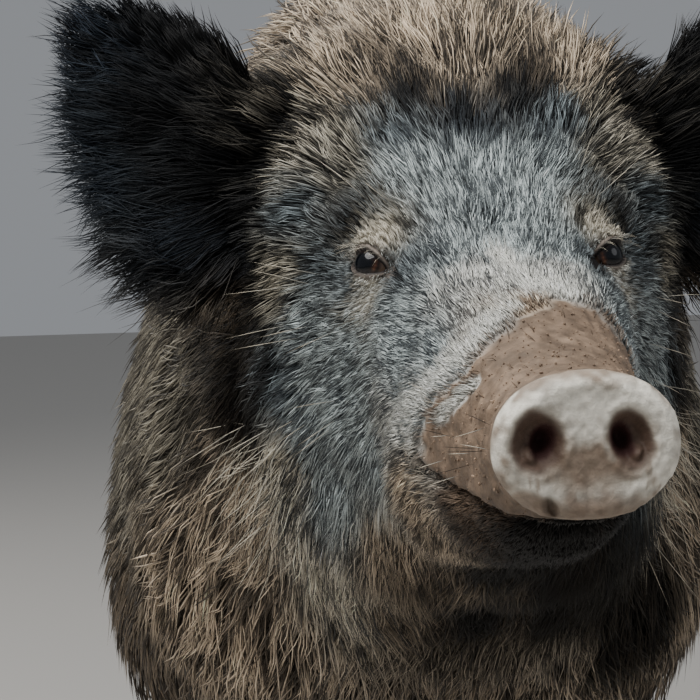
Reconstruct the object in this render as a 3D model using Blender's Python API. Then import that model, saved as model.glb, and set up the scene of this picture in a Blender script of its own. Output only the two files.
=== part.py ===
"""Wild boar, a grown sow standing square with her head nearly level: a still, life-size model.

Metres, +Z up. The boar faces -Y and its left side is +X. The flesh is lofted from sections that
reach the tips of the coat, fused into one body, and then parted by thin cuts into head, lower jaw,
neck, trunk and legs. The nose disc, ears, eyes, tail, hooves and dewclaws are solids of their own.
The last step moves the whole animal so that the origin is under the middle of its box, on the floor.
"""
import bpy
import bmesh
import numpy as np
from math import cos, pi, radians, sin
from mathutils import Matrix, Vector

# ---- driving dimensions ------------------------------------------------------------------------
GAP = 0.0003                    # thin cut between two pieces
SKIN_GAP = 0.0006               # the same, where a piece grows out of a curved surface
SIDES = {"left": 1, "right": -1}

NOSE = Vector((0, -0.85, 0.56))  # middle of the nose disc's face
HEAD_PITCH = radians(2.5)         # the snout points this much below level
HEAD_TURN = radians(4)           # and this much to the boar's left of its body
TURN_AXIS_Y = -0.38              # the neck turns the head about an upright axis here

# Trunk and neck, one section per row: place along the back, height of the back, height of the
# belly, half width, height of the widest place, and how full the upper and the lower half are
# (2 is an ellipse, less comes to a ridge, more is square).
TRUNK = (
    (-0.540, 0.705, 0.430, 0.105, 0.570, 2.0, 2.0),
    (-0.500, 0.752, 0.395, 0.128, 0.555, 1.9, 2.1),
    (-0.420, 0.792, 0.346, 0.169, 0.495, 1.8, 2.4),
    (-0.300, 0.826, 0.308, 0.195, 0.450, 1.65, 2.8),
    (-0.180, 0.840, 0.296, 0.207, 0.430, 1.55, 3.0),
    (-0.050, 0.830, 0.300, 0.199, 0.440, 1.55, 2.7),
    (0.120, 0.800, 0.322, 0.180, 0.460, 1.60, 2.5),
    (0.280, 0.772, 0.352, 0.166, 0.490, 1.70, 2.3),
    (0.420, 0.752, 0.395, 0.150, 0.520, 1.80, 2.2),
    (0.530, 0.718, 0.440, 0.128, 0.550, 1.9, 2.1),
    (0.600, 0.665, 0.490, 0.088, 0.575, 2.0, 2.0),
    (0.625, 0.625, 0.530, 0.040, 0.580, 2.0, 2.0),
)

# Head, in its own frame: distance behind the nose disc's face, height of the bridge and of the
# chin over the nose's middle, half width, height of the widest place, and the two fullnesses.
HEAD = (
    (0.004, 0.030, -0.035, 0.0390, 0.000, 2.4, 2.4),
    (0.030, 0.031, -0.040, 0.0390, -0.002, 2.3, 2.2),
    (0.060, 0.035, -0.062, 0.0420, -0.006, 2.3, 2.1),
    (0.100, 0.044, -0.075, 0.0490, -0.006, 2.3, 2.3),
    (0.145, 0.057, -0.083, 0.0575, -0.002, 2.3, 2.5),
    (0.190, 0.073, -0.093, 0.0670, 0.002, 2.3, 2.6),
    (0.232, 0.093, -0.108, 0.0770, 0.002, 2.3, 2.7),
    (0.270, 0.122, -0.130, 0.0980, -0.004, 2.5, 2.7),
    (0.310, 0.154, -0.152, 0.1170, -0.008, 3.0, 2.6),
    (0.350, 0.182, -0.165, 0.1240, -0.008, 3.0, 2.5),
    (0.395, 0.199, -0.168, 0.1250, -0.005, 2.4, 2.4),
    (0.445, 0.196, -0.160, 0.1200, 0.000, 2.0, 2.2),
)

# Legs of the left side, from the shoulder or hip down to the coronet: height, place across and
# along, half width across and half depth along.
FRONT_LEG = (
    (0.600, 0.085, -0.190, 0.050, 0.085),
    (0.500, 0.110, -0.180, 0.070, 0.100),
    (0.400, 0.131, -0.162, 0.073, 0.088),
    (0.340, 0.130, -0.170, 0.066, 0.070),
    (0.285, 0.117, -0.184, 0.046, 0.050),
    (0.235, 0.109, -0.195, 0.034, 0.039),
    (0.195, 0.108, -0.195, 0.027, 0.031),
    (0.150, 0.108, -0.192, 0.025, 0.028),
    (0.105, 0.108, -0.198, 0.029, 0.033),
    (0.070, 0.109, -0.212, 0.028, 0.031),
    (0.028, 0.109, -0.226, 0.030, 0.033),
)
HIND_LEG = (
    (0.640, 0.070, 0.430, 0.050, 0.105),
    (0.540, 0.084, 0.435, 0.064, 0.128),
    (0.450, 0.092, 0.415, 0.060, 0.102),
    (0.370, 0.094, 0.428, 0.047, 0.072),
    (0.310, 0.095, 0.455, 0.037, 0.054),
    (0.265, 0.096, 0.488, 0.029, 0.044),
    (0.235, 0.096, 0.500, 0.028, 0.037),
    (0.195, 0.096, 0.497, 0.025, 0.031),
    (0.150, 0.096, 0.488, 0.024, 0.028),
    (0.105, 0.096, 0.477, 0.028, 0.032),
    (0.070, 0.096, 0.462, 0.027, 0.030),
    (0.028, 0.096, 0.450, 0.029, 0.032),
)

# Thin cuts: each is a plane given by a place along the boar high up and one low down.
NECK_CUT = ((-0.462, 0.80), (-0.502, 0.40))      # head in front, neck behind
SHOULDER_CUT = ((-0.262, 0.82), (-0.362, 0.34))  # neck in front, trunk behind
# A leg is cut off below a slope from the groin up to the flank, between two upright planes.
FRONT_LEG_CUT = {"groin": (0.030, 0.300), "flank": (0.230, 0.520), "along": (-0.312, -0.062)}
HIND_LEG_CUT = {"groin": (0.030, 0.330), "flank": (0.230, 0.640), "along": (0.285, 0.700)}
# The mouth's line on the side of the head (behind the nose, over the nose), and the jaw's back.
MOUTH_LINE = ((-0.010, -0.043), (0.165, -0.032))
JAW_BACK = (0.200, -0.160)

DISC_HALF = (0.0440, 0.0345)    # half width and half height of the nose disc
DISC_DEPTH = 0.022
DISC_ROUND = 0.005              # rounding of its rim
NOSTRIL = {"across": 0.0205, "up": 0.003, "half_width": 0.0095, "half_height": 0.0115, "depth": 0.014}

EYE_RADIUS = 0.012
EYE_AT = (0.058, 0.242, 0.060)  # across, behind the nose, over the nose

EAR_BASE = (0.092, 0.345, 0.062)
EAR_LEAN = (0.63, 0.12, 0.77)   # direction of its tip: across, back, up
EAR_FACING = (0.22, -0.95, 0.10)  # direction that its hollow looks
EAR_LENGTH = 0.190
# Along the ear from base to tip: share of its length, half width, half thickness.
EAR = (
    (0.00, 0.048, 0.022),
    (0.16, 0.061, 0.018),
    (0.34, 0.067, 0.015),
    (0.55, 0.063, 0.012),
    (0.74, 0.050, 0.009),
    (0.90, 0.031, 0.006),
    (1.00, 0.010, 0.003),
)
EAR_CUP = 0.24                  # how far the edges come forward, as a share of the half width

# Tail: height, place along, radius of the tail with its hair.
TAIL = (
    (0.690, 0.585, 0.020),
    (0.670, 0.622, 0.019),
    (0.630, 0.642, 0.016),
    (0.560, 0.650, 0.012),
    (0.500, 0.648, 0.011),
    (0.450, 0.646, 0.014),
    (0.410, 0.646, 0.009),
    (0.390, 0.646, 0.003),
)

CORONET = 0.040                 # height of the hooves' top
CLAW = {"apart": 0.0155, "half_width": 0.0140, "half_length": 0.0300, "toe": 0.010}
DEWCLAW = {"apart": 0.021, "behind": 0.030, "height": 0.066, "radius": 0.0095, "length": 0.032}

# Fineness of the fused flesh: voxel, and triangles kept over the whole of it.
BODY_MESH = {"voxel": 0.008, "triangles": 4000}
HEAD_MESH = {"voxel": 0.005, "triangles": 6600}
SIDES_ROUND = 36                # points round each section

COLOURS = {                     # colour, roughness
    "coat_body": ((0.17, 0.14, 0.115), 0.85),
    "coat_head": ((0.22, 0.22, 0.215), 0.85),
    "coat_dark": ((0.035, 0.032, 0.032), 0.8),
    "nose_skin": ((0.40, 0.36, 0.33), 0.55),
    "eye": ((0.03, 0.017, 0.012), 0.08),
    "hoof_horn": ((0.05, 0.042, 0.036), 0.45),
}


# ---- tools of the construction -----------------------------------------------------------------
def smooth_rows(rows, count):
    """Rows at even steps of the first column, on the smooth curve through the given rows."""
    rows = np.array(sorted(rows))
    at, values = rows[:, 0], rows[:, 1:]
    slope = np.gradient(values, at, axis=0)
    steps = np.linspace(at[0], at[-1], count)
    i = np.clip(np.searchsorted(at, steps, side="right") - 1, 0, len(at) - 2)
    width = (at[i + 1] - at[i])[:, None]
    t = ((steps - at[i])[:, None]) / width
    out = ((2 * t**3 - 3 * t**2 + 1) * values[i] + (t**3 - 2 * t**2 + t) * width * slope[i]
           + (3 * t**2 - 2 * t**3) * values[i + 1] + (t**3 - t**2) * width * slope[i + 1])
    return np.column_stack((steps, out))


def section(half, top, bottom, widest, full_up, full_down):
    """Across and up of the points round one section: a superellipse with two different halves."""
    turn = np.linspace(0, 2 * pi, SIDES_ROUND, endpoint=False)
    c, s = np.cos(turn), np.sin(turn)
    power = np.where(s >= 0, 2 / full_up, 2 / full_down)
    reach = np.where(s >= 0, top - widest, widest - bottom)
    return (half * np.sign(c) * np.abs(c) ** power, widest + reach * np.sign(s) * np.abs(s) ** power)


def new_object(name, mesh):
    obj = bpy.data.objects.new(name, mesh)
    bpy.context.scene.collection.objects.link(obj)
    return obj


def face_outwards(mesh):
    work = bmesh.new()
    work.from_mesh(mesh)
    bmesh.ops.recalc_face_normals(work, faces=work.faces[:])
    work.to_mesh(mesh)
    work.free()


def loft(name, rings):
    """One closed body through rings that have the same number of points."""
    count = len(rings[0])
    faces = []
    for row in range(len(rings) - 1):
        for k in range(count):
            after = (k + 1) % count
            faces.append((row * count + k, row * count + after,
                          (row + 1) * count + after, (row + 1) * count + k))
    faces.append(tuple(range(count)))
    faces.append(tuple(range((len(rings) - 1) * count, len(rings) * count)))
    mesh = bpy.data.meshes.new(name)
    mesh.from_pydata(np.concatenate(rings).tolist(), [], faces)
    face_outwards(mesh)
    return new_object(name, mesh)


def settle(obj):
    """Turns the object's modifiers into its mesh."""
    evaluated = obj.evaluated_get(bpy.context.evaluated_depsgraph_get())
    mesh = bpy.data.meshes.new_from_object(evaluated)
    obj.modifiers.clear()
    obj.data = mesh
    return obj


def copy_of(obj, name):
    twin = new_object(name, obj.data.copy())
    twin.matrix_world = obj.matrix_world.copy()
    return twin


def grown(obj, name, by):
    """A copy whose surface lies further out by the given distance."""
    twin = copy_of(obj, name)
    work = bmesh.new()
    work.from_mesh(twin.data)
    work.normal_update()
    for vertex in work.verts:
        vertex.co += vertex.normal * by
    work.to_mesh(twin.data)
    work.free()
    return twin


def discard(*objects):
    for obj in objects:
        bpy.data.objects.remove(obj)


def boolean(obj, cutter, operation="DIFFERENCE"):
    modifier = obj.modifiers.new(operation.lower(), "BOOLEAN")
    modifier.operation = operation
    modifier.object = cutter
    return settle(obj)


def prism(name, outline, axis, low, high):
    """A cutter: an outline of (u, v) points drawn along one axis, from low to high."""
    place = {"X": lambda u, v, d: (d, u, v), "Y": lambda u, v, d: (u, d, v)}[axis]
    return loft(name, [np.array([place(u, v, depth) for u, v in outline]) for depth in (low, high)])


def plane_at(plane, z):
    """Where a cut's plane lies along the boar at a height."""
    (y_high, z_high), (y_low, z_low) = plane
    return y_low + (y_high - y_low) * (z - z_low) / (z_high - z_low)


def beyond(name, plane, shift, way):
    """A cutter that fills all in front of (way -1) or behind (way 1) a plane across the boar."""
    top, bottom, far = 1.2, -0.2, 2.0 * way
    outline = [(plane_at(plane, bottom) + shift, bottom), (plane_at(plane, top) + shift, top),
               (far, top), (far, bottom)]
    return prism(name, outline, "X", -0.6, 0.6)


def head_place(across, back, up):
    """World place of a point given in the head's frame."""
    along = Vector((0, cos(HEAD_PITCH), sin(HEAD_PITCH)))
    over = Vector((0, -sin(HEAD_PITCH), cos(HEAD_PITCH)))
    return NOSE + Vector((across, 0, 0)) + along * back + over * up


def head_direction(across, back, up):
    return (head_place(across, back, up) - NOSE).normalized()


def finish(obj, kind):
    material = bpy.data.materials.get(kind) or bpy.data.materials.new(kind)
    colour, roughness = COLOURS[kind]
    material.use_nodes = True
    shader = material.node_tree.nodes["Principled BSDF"]
    shader.inputs["Base Color"].default_value = (*colour, 1)
    shader.inputs["Roughness"].default_value = roughness
    shader.inputs["Metallic"].default_value = 0
    obj.data.materials.clear()
    obj.data.materials.append(material)
    obj.data.shade_smooth()
    obj.data.set_sharp_from_angle(angle=radians(50))
    return obj


# ---- the flesh ---------------------------------------------------------------------------------
def trunk_loft():
    rings = []
    for y, top, bottom, half, widest, up, down in smooth_rows(TRUNK, 60):
        x, z = section(half, top, bottom, widest, up, down)
        rings.append(np.column_stack((x, np.full_like(x, y), z)))
    return loft("trunk_loft", rings)


def head_loft():
    rings = []
    for back, top, bottom, half, widest, up, down in smooth_rows(HEAD, 60):
        across, over = section(half, top, bottom, widest, up, down)
        rings.append(np.array([head_place(a, back, o) for a, o in zip(across, over)]))
    return loft("head_loft", rings)


def leg_loft(stations, side):
    turn = np.linspace(0, 2 * pi, SIDES_ROUND, endpoint=False)
    rings = []
    for z, x, y, half_x, half_y in smooth_rows(stations, 50):
        rings.append(np.column_stack((side * x + half_x * np.cos(turn), y + half_y * np.sin(turn),
                                      np.full(SIDES_ROUND, z))))
    return loft("leg_loft", rings)


def fused(name, lofts, voxel, triangles):
    """One body from several lofts, its joins smoothed, with about the given triangles."""
    obj = lofts[0]
    obj.name = name
    work = bmesh.new()
    for piece in lofts:
        work.from_mesh(piece.data)
    work.to_mesh(obj.data)
    work.free()
    discard(*lofts[1:])
    remesh = obj.modifiers.new("fuse", "REMESH")
    remesh.mode = "VOXEL"
    remesh.voxel_size = voxel
    smooth = obj.modifiers.new("smooth", "SMOOTH")
    smooth.factor = 0.5
    smooth.iterations = 8
    settle(obj)
    thin = obj.modifiers.new("thin", "DECIMATE")
    obj.data.calc_loop_triangles()
    thin.ratio = triangles / len(obj.data.loop_triangles)
    return settle(obj)


def parted(flesh, name, take_away, kind):
    """A piece of the flesh: what is left when the cutters are taken away."""
    piece = copy_of(flesh, name)
    for cutter in take_away:
        boolean(piece, cutter)
    return finish(piece, kind)


def leg_prism(name, cut, side, grow):
    groin, flank = cut["groin"], cut["flank"]
    inner, outer, floor = 0.006, 0.5, -0.2
    slope = (flank[1] - groin[1]) / (flank[0] - groin[0])
    height = [groin[1] + slope * (x - groin[0]) + grow * (1 + slope) for x in (inner, outer)]
    outline = [(side * x, z) for x, z in ((inner - grow, floor), (inner - grow, height[0]),
                                          (outer, height[1]), (outer, floor))]
    return prism(name, outline, "Y", cut["along"][0] - grow, cut["along"][1] + grow)


def jaw_prism(name, grow):
    (b0, w0), (b1, w1) = MOUTH_LINE
    corners = [(b0, w0 + grow), (b1 + grow, w1 + grow), (JAW_BACK[0] + grow, JAW_BACK[1]), (b0, JAW_BACK[1])]
    places = [head_place(0, back, up) for back, up in corners]
    return prism(name, [(place.y, place.z) for place in places], "X", -0.3, 0.3)


def nose_cutter(name, depth):
    """All that lies in front of a plane at the given distance behind the nose disc's face."""
    corners = [head_place(0, back, up) for back, up in ((depth, 0.3), (depth, -0.3), (-0.3, -0.3), (-0.3, 0.3))]
    return prism(name, [(place.y, place.z) for place in corners], "X", -0.3, 0.3)


# ---- pieces with a shape of their own ----------------------------------------------------------
def nose_disc():
    """The rooting disc: an oval slab with a rounded rim and two nostrils."""
    profile = [(DISC_DEPTH, 0.0030), (DISC_DEPTH * 0.55, 0.0012)]
    for turn in np.linspace(0, pi / 2, 4):
        profile.append((DISC_ROUND * (1 - sin(turn)), DISC_ROUND * (1 - cos(turn))))
    rings = []
    for back, inset in profile:
        across, up = section(DISC_HALF[0] - inset, DISC_HALF[1] - inset, inset - DISC_HALF[1], 0, 2.2, 2.5)
        rings.append(np.array([head_place(a, back, u) for a, u in zip(across, up)]))
    disc = loft("nose_disc", rings)
    for side in SIDES.values():
        hollow = []
        for back, share in ((-0.004, 1.12), (0.002, 1.0), (NOSTRIL["depth"] * 0.6, 0.8), (NOSTRIL["depth"], 0.45)):
            turn = np.linspace(0, 2 * pi, 14, endpoint=False)
            across = side * NOSTRIL["across"] + share * NOSTRIL["half_width"] * np.cos(turn)
            up = NOSTRIL["up"] + share * NOSTRIL["half_height"] * np.sin(turn)
            hollow.append(np.array([head_place(a, back, u) for a, u in zip(across, up)]))
        cutter = loft("nostril_cutter", hollow)
        boolean(disc, cutter)
        discard(cutter)
    return finish(disc, "nose_skin")


def eyeball(name, side, radius):
    across, back, up = EYE_AT
    mesh = bpy.data.meshes.new(name)
    work = bmesh.new()
    bmesh.ops.create_icosphere(work, subdivisions=2, radius=radius,
                               matrix=Matrix.Translation(head_place(side * across, back, up)))
    work.to_mesh(mesh)
    work.free()
    return new_object(name, mesh)


def ear(name, side, body):
    """A cupped leaf that grows out of the head, with the body's own surface as its foot."""
    base = head_place(side * EAR_BASE[0], *EAR_BASE[1:])
    along = head_direction(side * EAR_LEAN[0], *EAR_LEAN[1:])
    facing = head_direction(side * EAR_FACING[0], *EAR_FACING[1:])
    facing = (facing - along * facing.dot(along)).normalized()
    across = along.cross(facing)
    turn = np.linspace(0, 2 * pi, 16, endpoint=False)
    rings = []
    for share, half_width, half_thick in smooth_rows(EAR, 11):
        ring = []
        for angle in turn:
            u = half_width * cos(angle)
            forward = half_thick * sin(angle) + EAR_CUP * half_width * cos(angle) ** 2
            ring.append(base + along * (share * EAR_LENGTH) + across * u + facing * forward)
        rings.append(np.array(ring))
    leaf = loft(name, rings)
    boolean(leaf, body)
    return finish(leaf, "coat_dark")


def tail(body):
    turn = np.linspace(0, 2 * pi, 12, endpoint=False)
    rings = [np.column_stack((radius * np.cos(turn), y + radius * np.sin(turn), np.full(12, z)))
             for z, y, radius in smooth_rows(TAIL, 14)]
    hanging = loft("tail", rings)
    boolean(hanging, body)
    return finish(hanging, "coat_dark")


def claw(name, x, y):
    """One half of a cloven hoof: a D-shaped sole, a sloping toe and a flat top."""
    turn = np.linspace(0, 2 * pi, 12, endpoint=False)
    rings = []
    for z, width, length, forward in ((0.0, 1.0, 1.0, CLAW["toe"]), (0.006, 1.02, 1.02, CLAW["toe"] * 0.85),
                                      (CORONET, 0.95, 0.86, 0.0)):
        point = np.where(np.sin(turn) < 0, np.abs(np.sin(turn)) ** 1.3, np.abs(np.sin(turn)) ** 0.8)
        across = x + width * CLAW["half_width"] * np.sign(np.cos(turn)) * np.abs(np.cos(turn)) ** 0.8
        along = y - forward + length * CLAW["half_length"] * np.sign(np.sin(turn)) * point
        rings.append(np.column_stack((across, along, np.full(12, z))))
    return finish(loft(name, rings), "hoof_horn")


def dewclaw(name, x, y, way, body):
    """A small side hoof behind the pastern, pointing down and out."""
    turn = np.linspace(0, 2 * pi, 8, endpoint=False)
    rings = []
    for share, radius in ((0.0, 0.9), (0.35, 1.0), (0.75, 0.72), (1.0, 0.3)):
        z = DEWCLAW["height"] + DEWCLAW["length"] * (0.35 - share)
        out = way * 0.006 * share
        size = radius * DEWCLAW["radius"]
        rings.append(np.column_stack((x + out + 0.8 * size * np.cos(turn),
                                      y + 0.012 * share + size * np.sin(turn), np.full(8, z))))
    horn = loft(name, rings)
    boolean(horn, body)
    return finish(horn, "hoof_horn")


# ---- the animal put together -------------------------------------------------------------------
def build():
    for old in list(bpy.data.objects):
        bpy.data.objects.remove(old)
    legs = {"front": (FRONT_LEG, FRONT_LEG_CUT), "hind": (HIND_LEG, HIND_LEG_CUT)}

    lofts = [trunk_loft(), head_loft()]
    lofts += [leg_loft(stations, side) for stations, _ in legs.values() for side in SIDES.values()]
    body = fused("body_flesh", lofts, **BODY_MESH)
    head = fused("head_flesh", [trunk_loft(), head_loft()], **HEAD_MESH)
    body_skin = grown(body, "body_skin", SKIN_GAP)
    head_skin = grown(head, "head_skin", SKIN_GAP)

    # head, lower jaw, nose and eyes
    cutters = {
        "behind_head": beyond("behind_head", NECK_CUT, -GAP / 2, 1),
        "before_neck": beyond("before_neck", NECK_CUT, GAP / 2, -1),
        "behind_neck": beyond("behind_neck", SHOULDER_CUT, -GAP / 2, 1),
        "before_trunk": beyond("before_trunk", SHOULDER_CUT, GAP / 2, -1),
        "jaw": jaw_prism("jaw", 0), "jaw_room": jaw_prism("jaw_room", GAP),
        "before_nose": nose_cutter("before_nose", DISC_DEPTH + GAP),
    }
    parted(head, "head", [cutters["behind_head"], cutters["before_nose"], cutters["jaw_room"]], "coat_head")
    jaw = copy_of(head, "lower_jaw")
    boolean(jaw, cutters["before_nose"])
    boolean(jaw, cutters["jaw"], "INTERSECT")
    finish(jaw, "coat_head")
    nose_disc()
    for word, side in SIDES.items():
        room = eyeball("eye_room", side, EYE_RADIUS + GAP)
        boolean(bpy.data.objects["head"], room)
        discard(room)
        finish(eyeball("eye_" + word, side, EYE_RADIUS), "eye")
        ear("ear_" + word, side, head_skin)

    # neck, trunk, tail and legs
    parted(body, "neck", [cutters["before_neck"], cutters["behind_neck"]], "coat_body")
    trunk = parted(body, "trunk", [cutters["before_trunk"]], "coat_body")
    tail(body_skin)
    above_hoof = prism("above_hoof", [(-1, CORONET + GAP), (1, CORONET + GAP), (1, -1), (-1, -1)], "Y", -1.5, 1.5)
    for end, (stations, cut) in legs.items():
        foot_x, foot_y = smooth_rows(stations, 50)[0][1:3]
        dew_x, dew_y = stations[-2][1:3]
        for word, side in SIDES.items():
            room = leg_prism("leg_room", cut, side, GAP)
            boolean(trunk, room)
            block = leg_prism("leg_block", cut, side, 0)
            leg = copy_of(body, "leg_%s_%s" % (end, word))
            boolean(leg, block, "INTERSECT")
            boolean(leg, above_hoof)
            finish(leg, "coat_dark")
            discard(room, block)
            for toe, way in (("outer", 1), ("inner", -1)):
                place = "%s_%s_%s" % (end, word, toe)
                claw("hoof_" + place, side * (foot_x + way * CLAW["apart"]), foot_y)
                dewclaw("dewclaw_" + place, side * (dew_x + way * DEWCLAW["apart"]),
                        dew_y + DEWCLAW["behind"], side * way, body_skin)
    finish(trunk, "coat_body")
    discard(body, head, body_skin, head_skin, above_hoof, *cutters.values())
    turn_head()
    centre_on_floor()


def turn_head():
    """Turns the head's pieces rigidly, and the neck by a share that grows from its root to its front."""
    carried = ("head", "lower_jaw", "nose_disc", "eye_", "ear_")
    for obj in bpy.data.objects:
        rigid = obj.name.startswith(carried)
        if not rigid and obj.name != "neck":
            continue
        for vertex in obj.data.vertices:
            x, y, z = vertex.co
            root, front = plane_at(SHOULDER_CUT, z) - 0.01, plane_at(NECK_CUT, z) + 0.01
            share = 1 if rigid else min(max((root - y) / (root - front), 0), 1)
            angle = HEAD_TURN * share * share * (3 - 2 * share)
            ahead = y - TURN_AXIS_Y
            vertex.co = (x * cos(angle) - ahead * sin(angle), TURN_AXIS_Y + x * sin(angle) + ahead * cos(angle), z)


def centre_on_floor():
    """Moves the animal so that the origin is under the middle of its box, at the soles."""
    places = np.concatenate([np.array([v.co for v in obj.data.vertices]) for obj in bpy.data.objects])
    low, high = places.min(axis=0), places.max(axis=0)
    shift = Matrix.Translation((-(low[0] + high[0]) / 2, -(low[1] + high[1]) / 2, -low[2]))
    for obj in bpy.data.objects:
        obj.data.transform(shift)


build()
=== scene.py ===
"""Looks of a wild boar, a grown sow in her winter coat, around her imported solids.

The flesh becomes one skin that lies under the coat. Over it the coat grows strand by strand, combed
and coloured by one chart of the boar's body. Metres, +Z up; the boar faces -Y, its left side is +X.
"""

from math import cos, pi, radians, sin

import bmesh
import bpy
import numpy as np
from mathutils import Matrix, Vector
from mathutils.bvhtree import BVHTree
from mathutils.kdtree import KDTree


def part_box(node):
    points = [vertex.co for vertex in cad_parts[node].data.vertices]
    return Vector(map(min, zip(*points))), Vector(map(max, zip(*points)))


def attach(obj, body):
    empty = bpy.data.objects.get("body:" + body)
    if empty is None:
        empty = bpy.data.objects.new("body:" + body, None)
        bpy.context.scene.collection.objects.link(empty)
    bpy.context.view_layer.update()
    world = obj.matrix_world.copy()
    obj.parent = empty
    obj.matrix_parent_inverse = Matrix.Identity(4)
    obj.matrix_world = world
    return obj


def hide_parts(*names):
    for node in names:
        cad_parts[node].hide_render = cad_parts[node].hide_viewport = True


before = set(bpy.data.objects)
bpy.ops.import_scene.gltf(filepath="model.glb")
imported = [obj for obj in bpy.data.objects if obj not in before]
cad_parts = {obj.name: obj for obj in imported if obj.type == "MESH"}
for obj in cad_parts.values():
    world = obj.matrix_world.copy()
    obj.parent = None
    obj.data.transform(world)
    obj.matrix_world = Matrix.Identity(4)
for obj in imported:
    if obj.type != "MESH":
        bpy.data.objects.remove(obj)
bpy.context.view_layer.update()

# ---- the chart of the coat -------------------------------------------------------------------
# How the coat lies, how long and deep it is and how it is coloured, at places a groomer would
# name. Everything between the places is a blend of the nearest ones. Both the skin and the coat
# read it, so they carry the same markings. The head is measured from the middle of the nose disc.
MM = 0.001
HEAD_TURN, HEAD_PITCH = radians(4), radians(2.5)
DISC_LEAN = 0.003               # the turned disc's near edge stands this far in front of its middle


def middle_of(name):
    low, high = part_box(name)
    return (np.array(low) + np.array(high)) / 2


NOSE = middle_of("nose_disc")
NOSE[1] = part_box("nose_disc")[0][1] + DISC_LEAN
MIDDLE = middle_of("trunk")[0]   # the body's own middle plane
HEAD_AXES = np.array((
    (cos(HEAD_TURN), sin(HEAD_TURN), 0),
    (-sin(HEAD_TURN) * cos(HEAD_PITCH), cos(HEAD_TURN) * cos(HEAD_PITCH), sin(HEAD_PITCH)),
    (sin(HEAD_TURN) * sin(HEAD_PITCH), -cos(HEAD_TURN) * sin(HEAD_PITCH), cos(HEAD_PITCH)),
))


def in_head(places):
    """Across, back and up of world places, from the middle of the nose disc."""
    return (np.asarray(places) - NOSE) @ HEAD_AXES.T


def from_head(places):
    return np.asarray(places) @ HEAD_AXES + NOSE


def dye(red, green, blue):
    """A colour as painters mix it, 0 to 255, turned into the amounts that light works with."""
    share = np.array((red, green, blue)) / 255
    return np.where(share <= 0.04045, share / 12.92, ((share + 0.055) / 1.055) ** 2.4)


BLACK = dye(18, 19, 21)
INK = dye(8, 9, 11)
# a blue-grey that stands in for painted sheen on the ear's hair
BLUE_SHEEN = dye(36, 43, 52)
SOOT = dye(10, 7, 5)
SLATE = dye(48, 54, 60)
STEEL = dye(124, 134, 138)
SILVER = dye(212, 223, 223)
PALE = dye(248, 248, 240)
FAWN = dye(172, 165, 148)
TAN = dye(226, 206, 180)
CREAM = dye(236, 226, 205)
MUD = dye(141, 120, 101)
WET_MUD = dye(112, 93, 76)
UMBER = dye(40, 34, 29)
BROWN = dye(140, 126, 108)
EARTH = dye(52, 47, 42)

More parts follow.
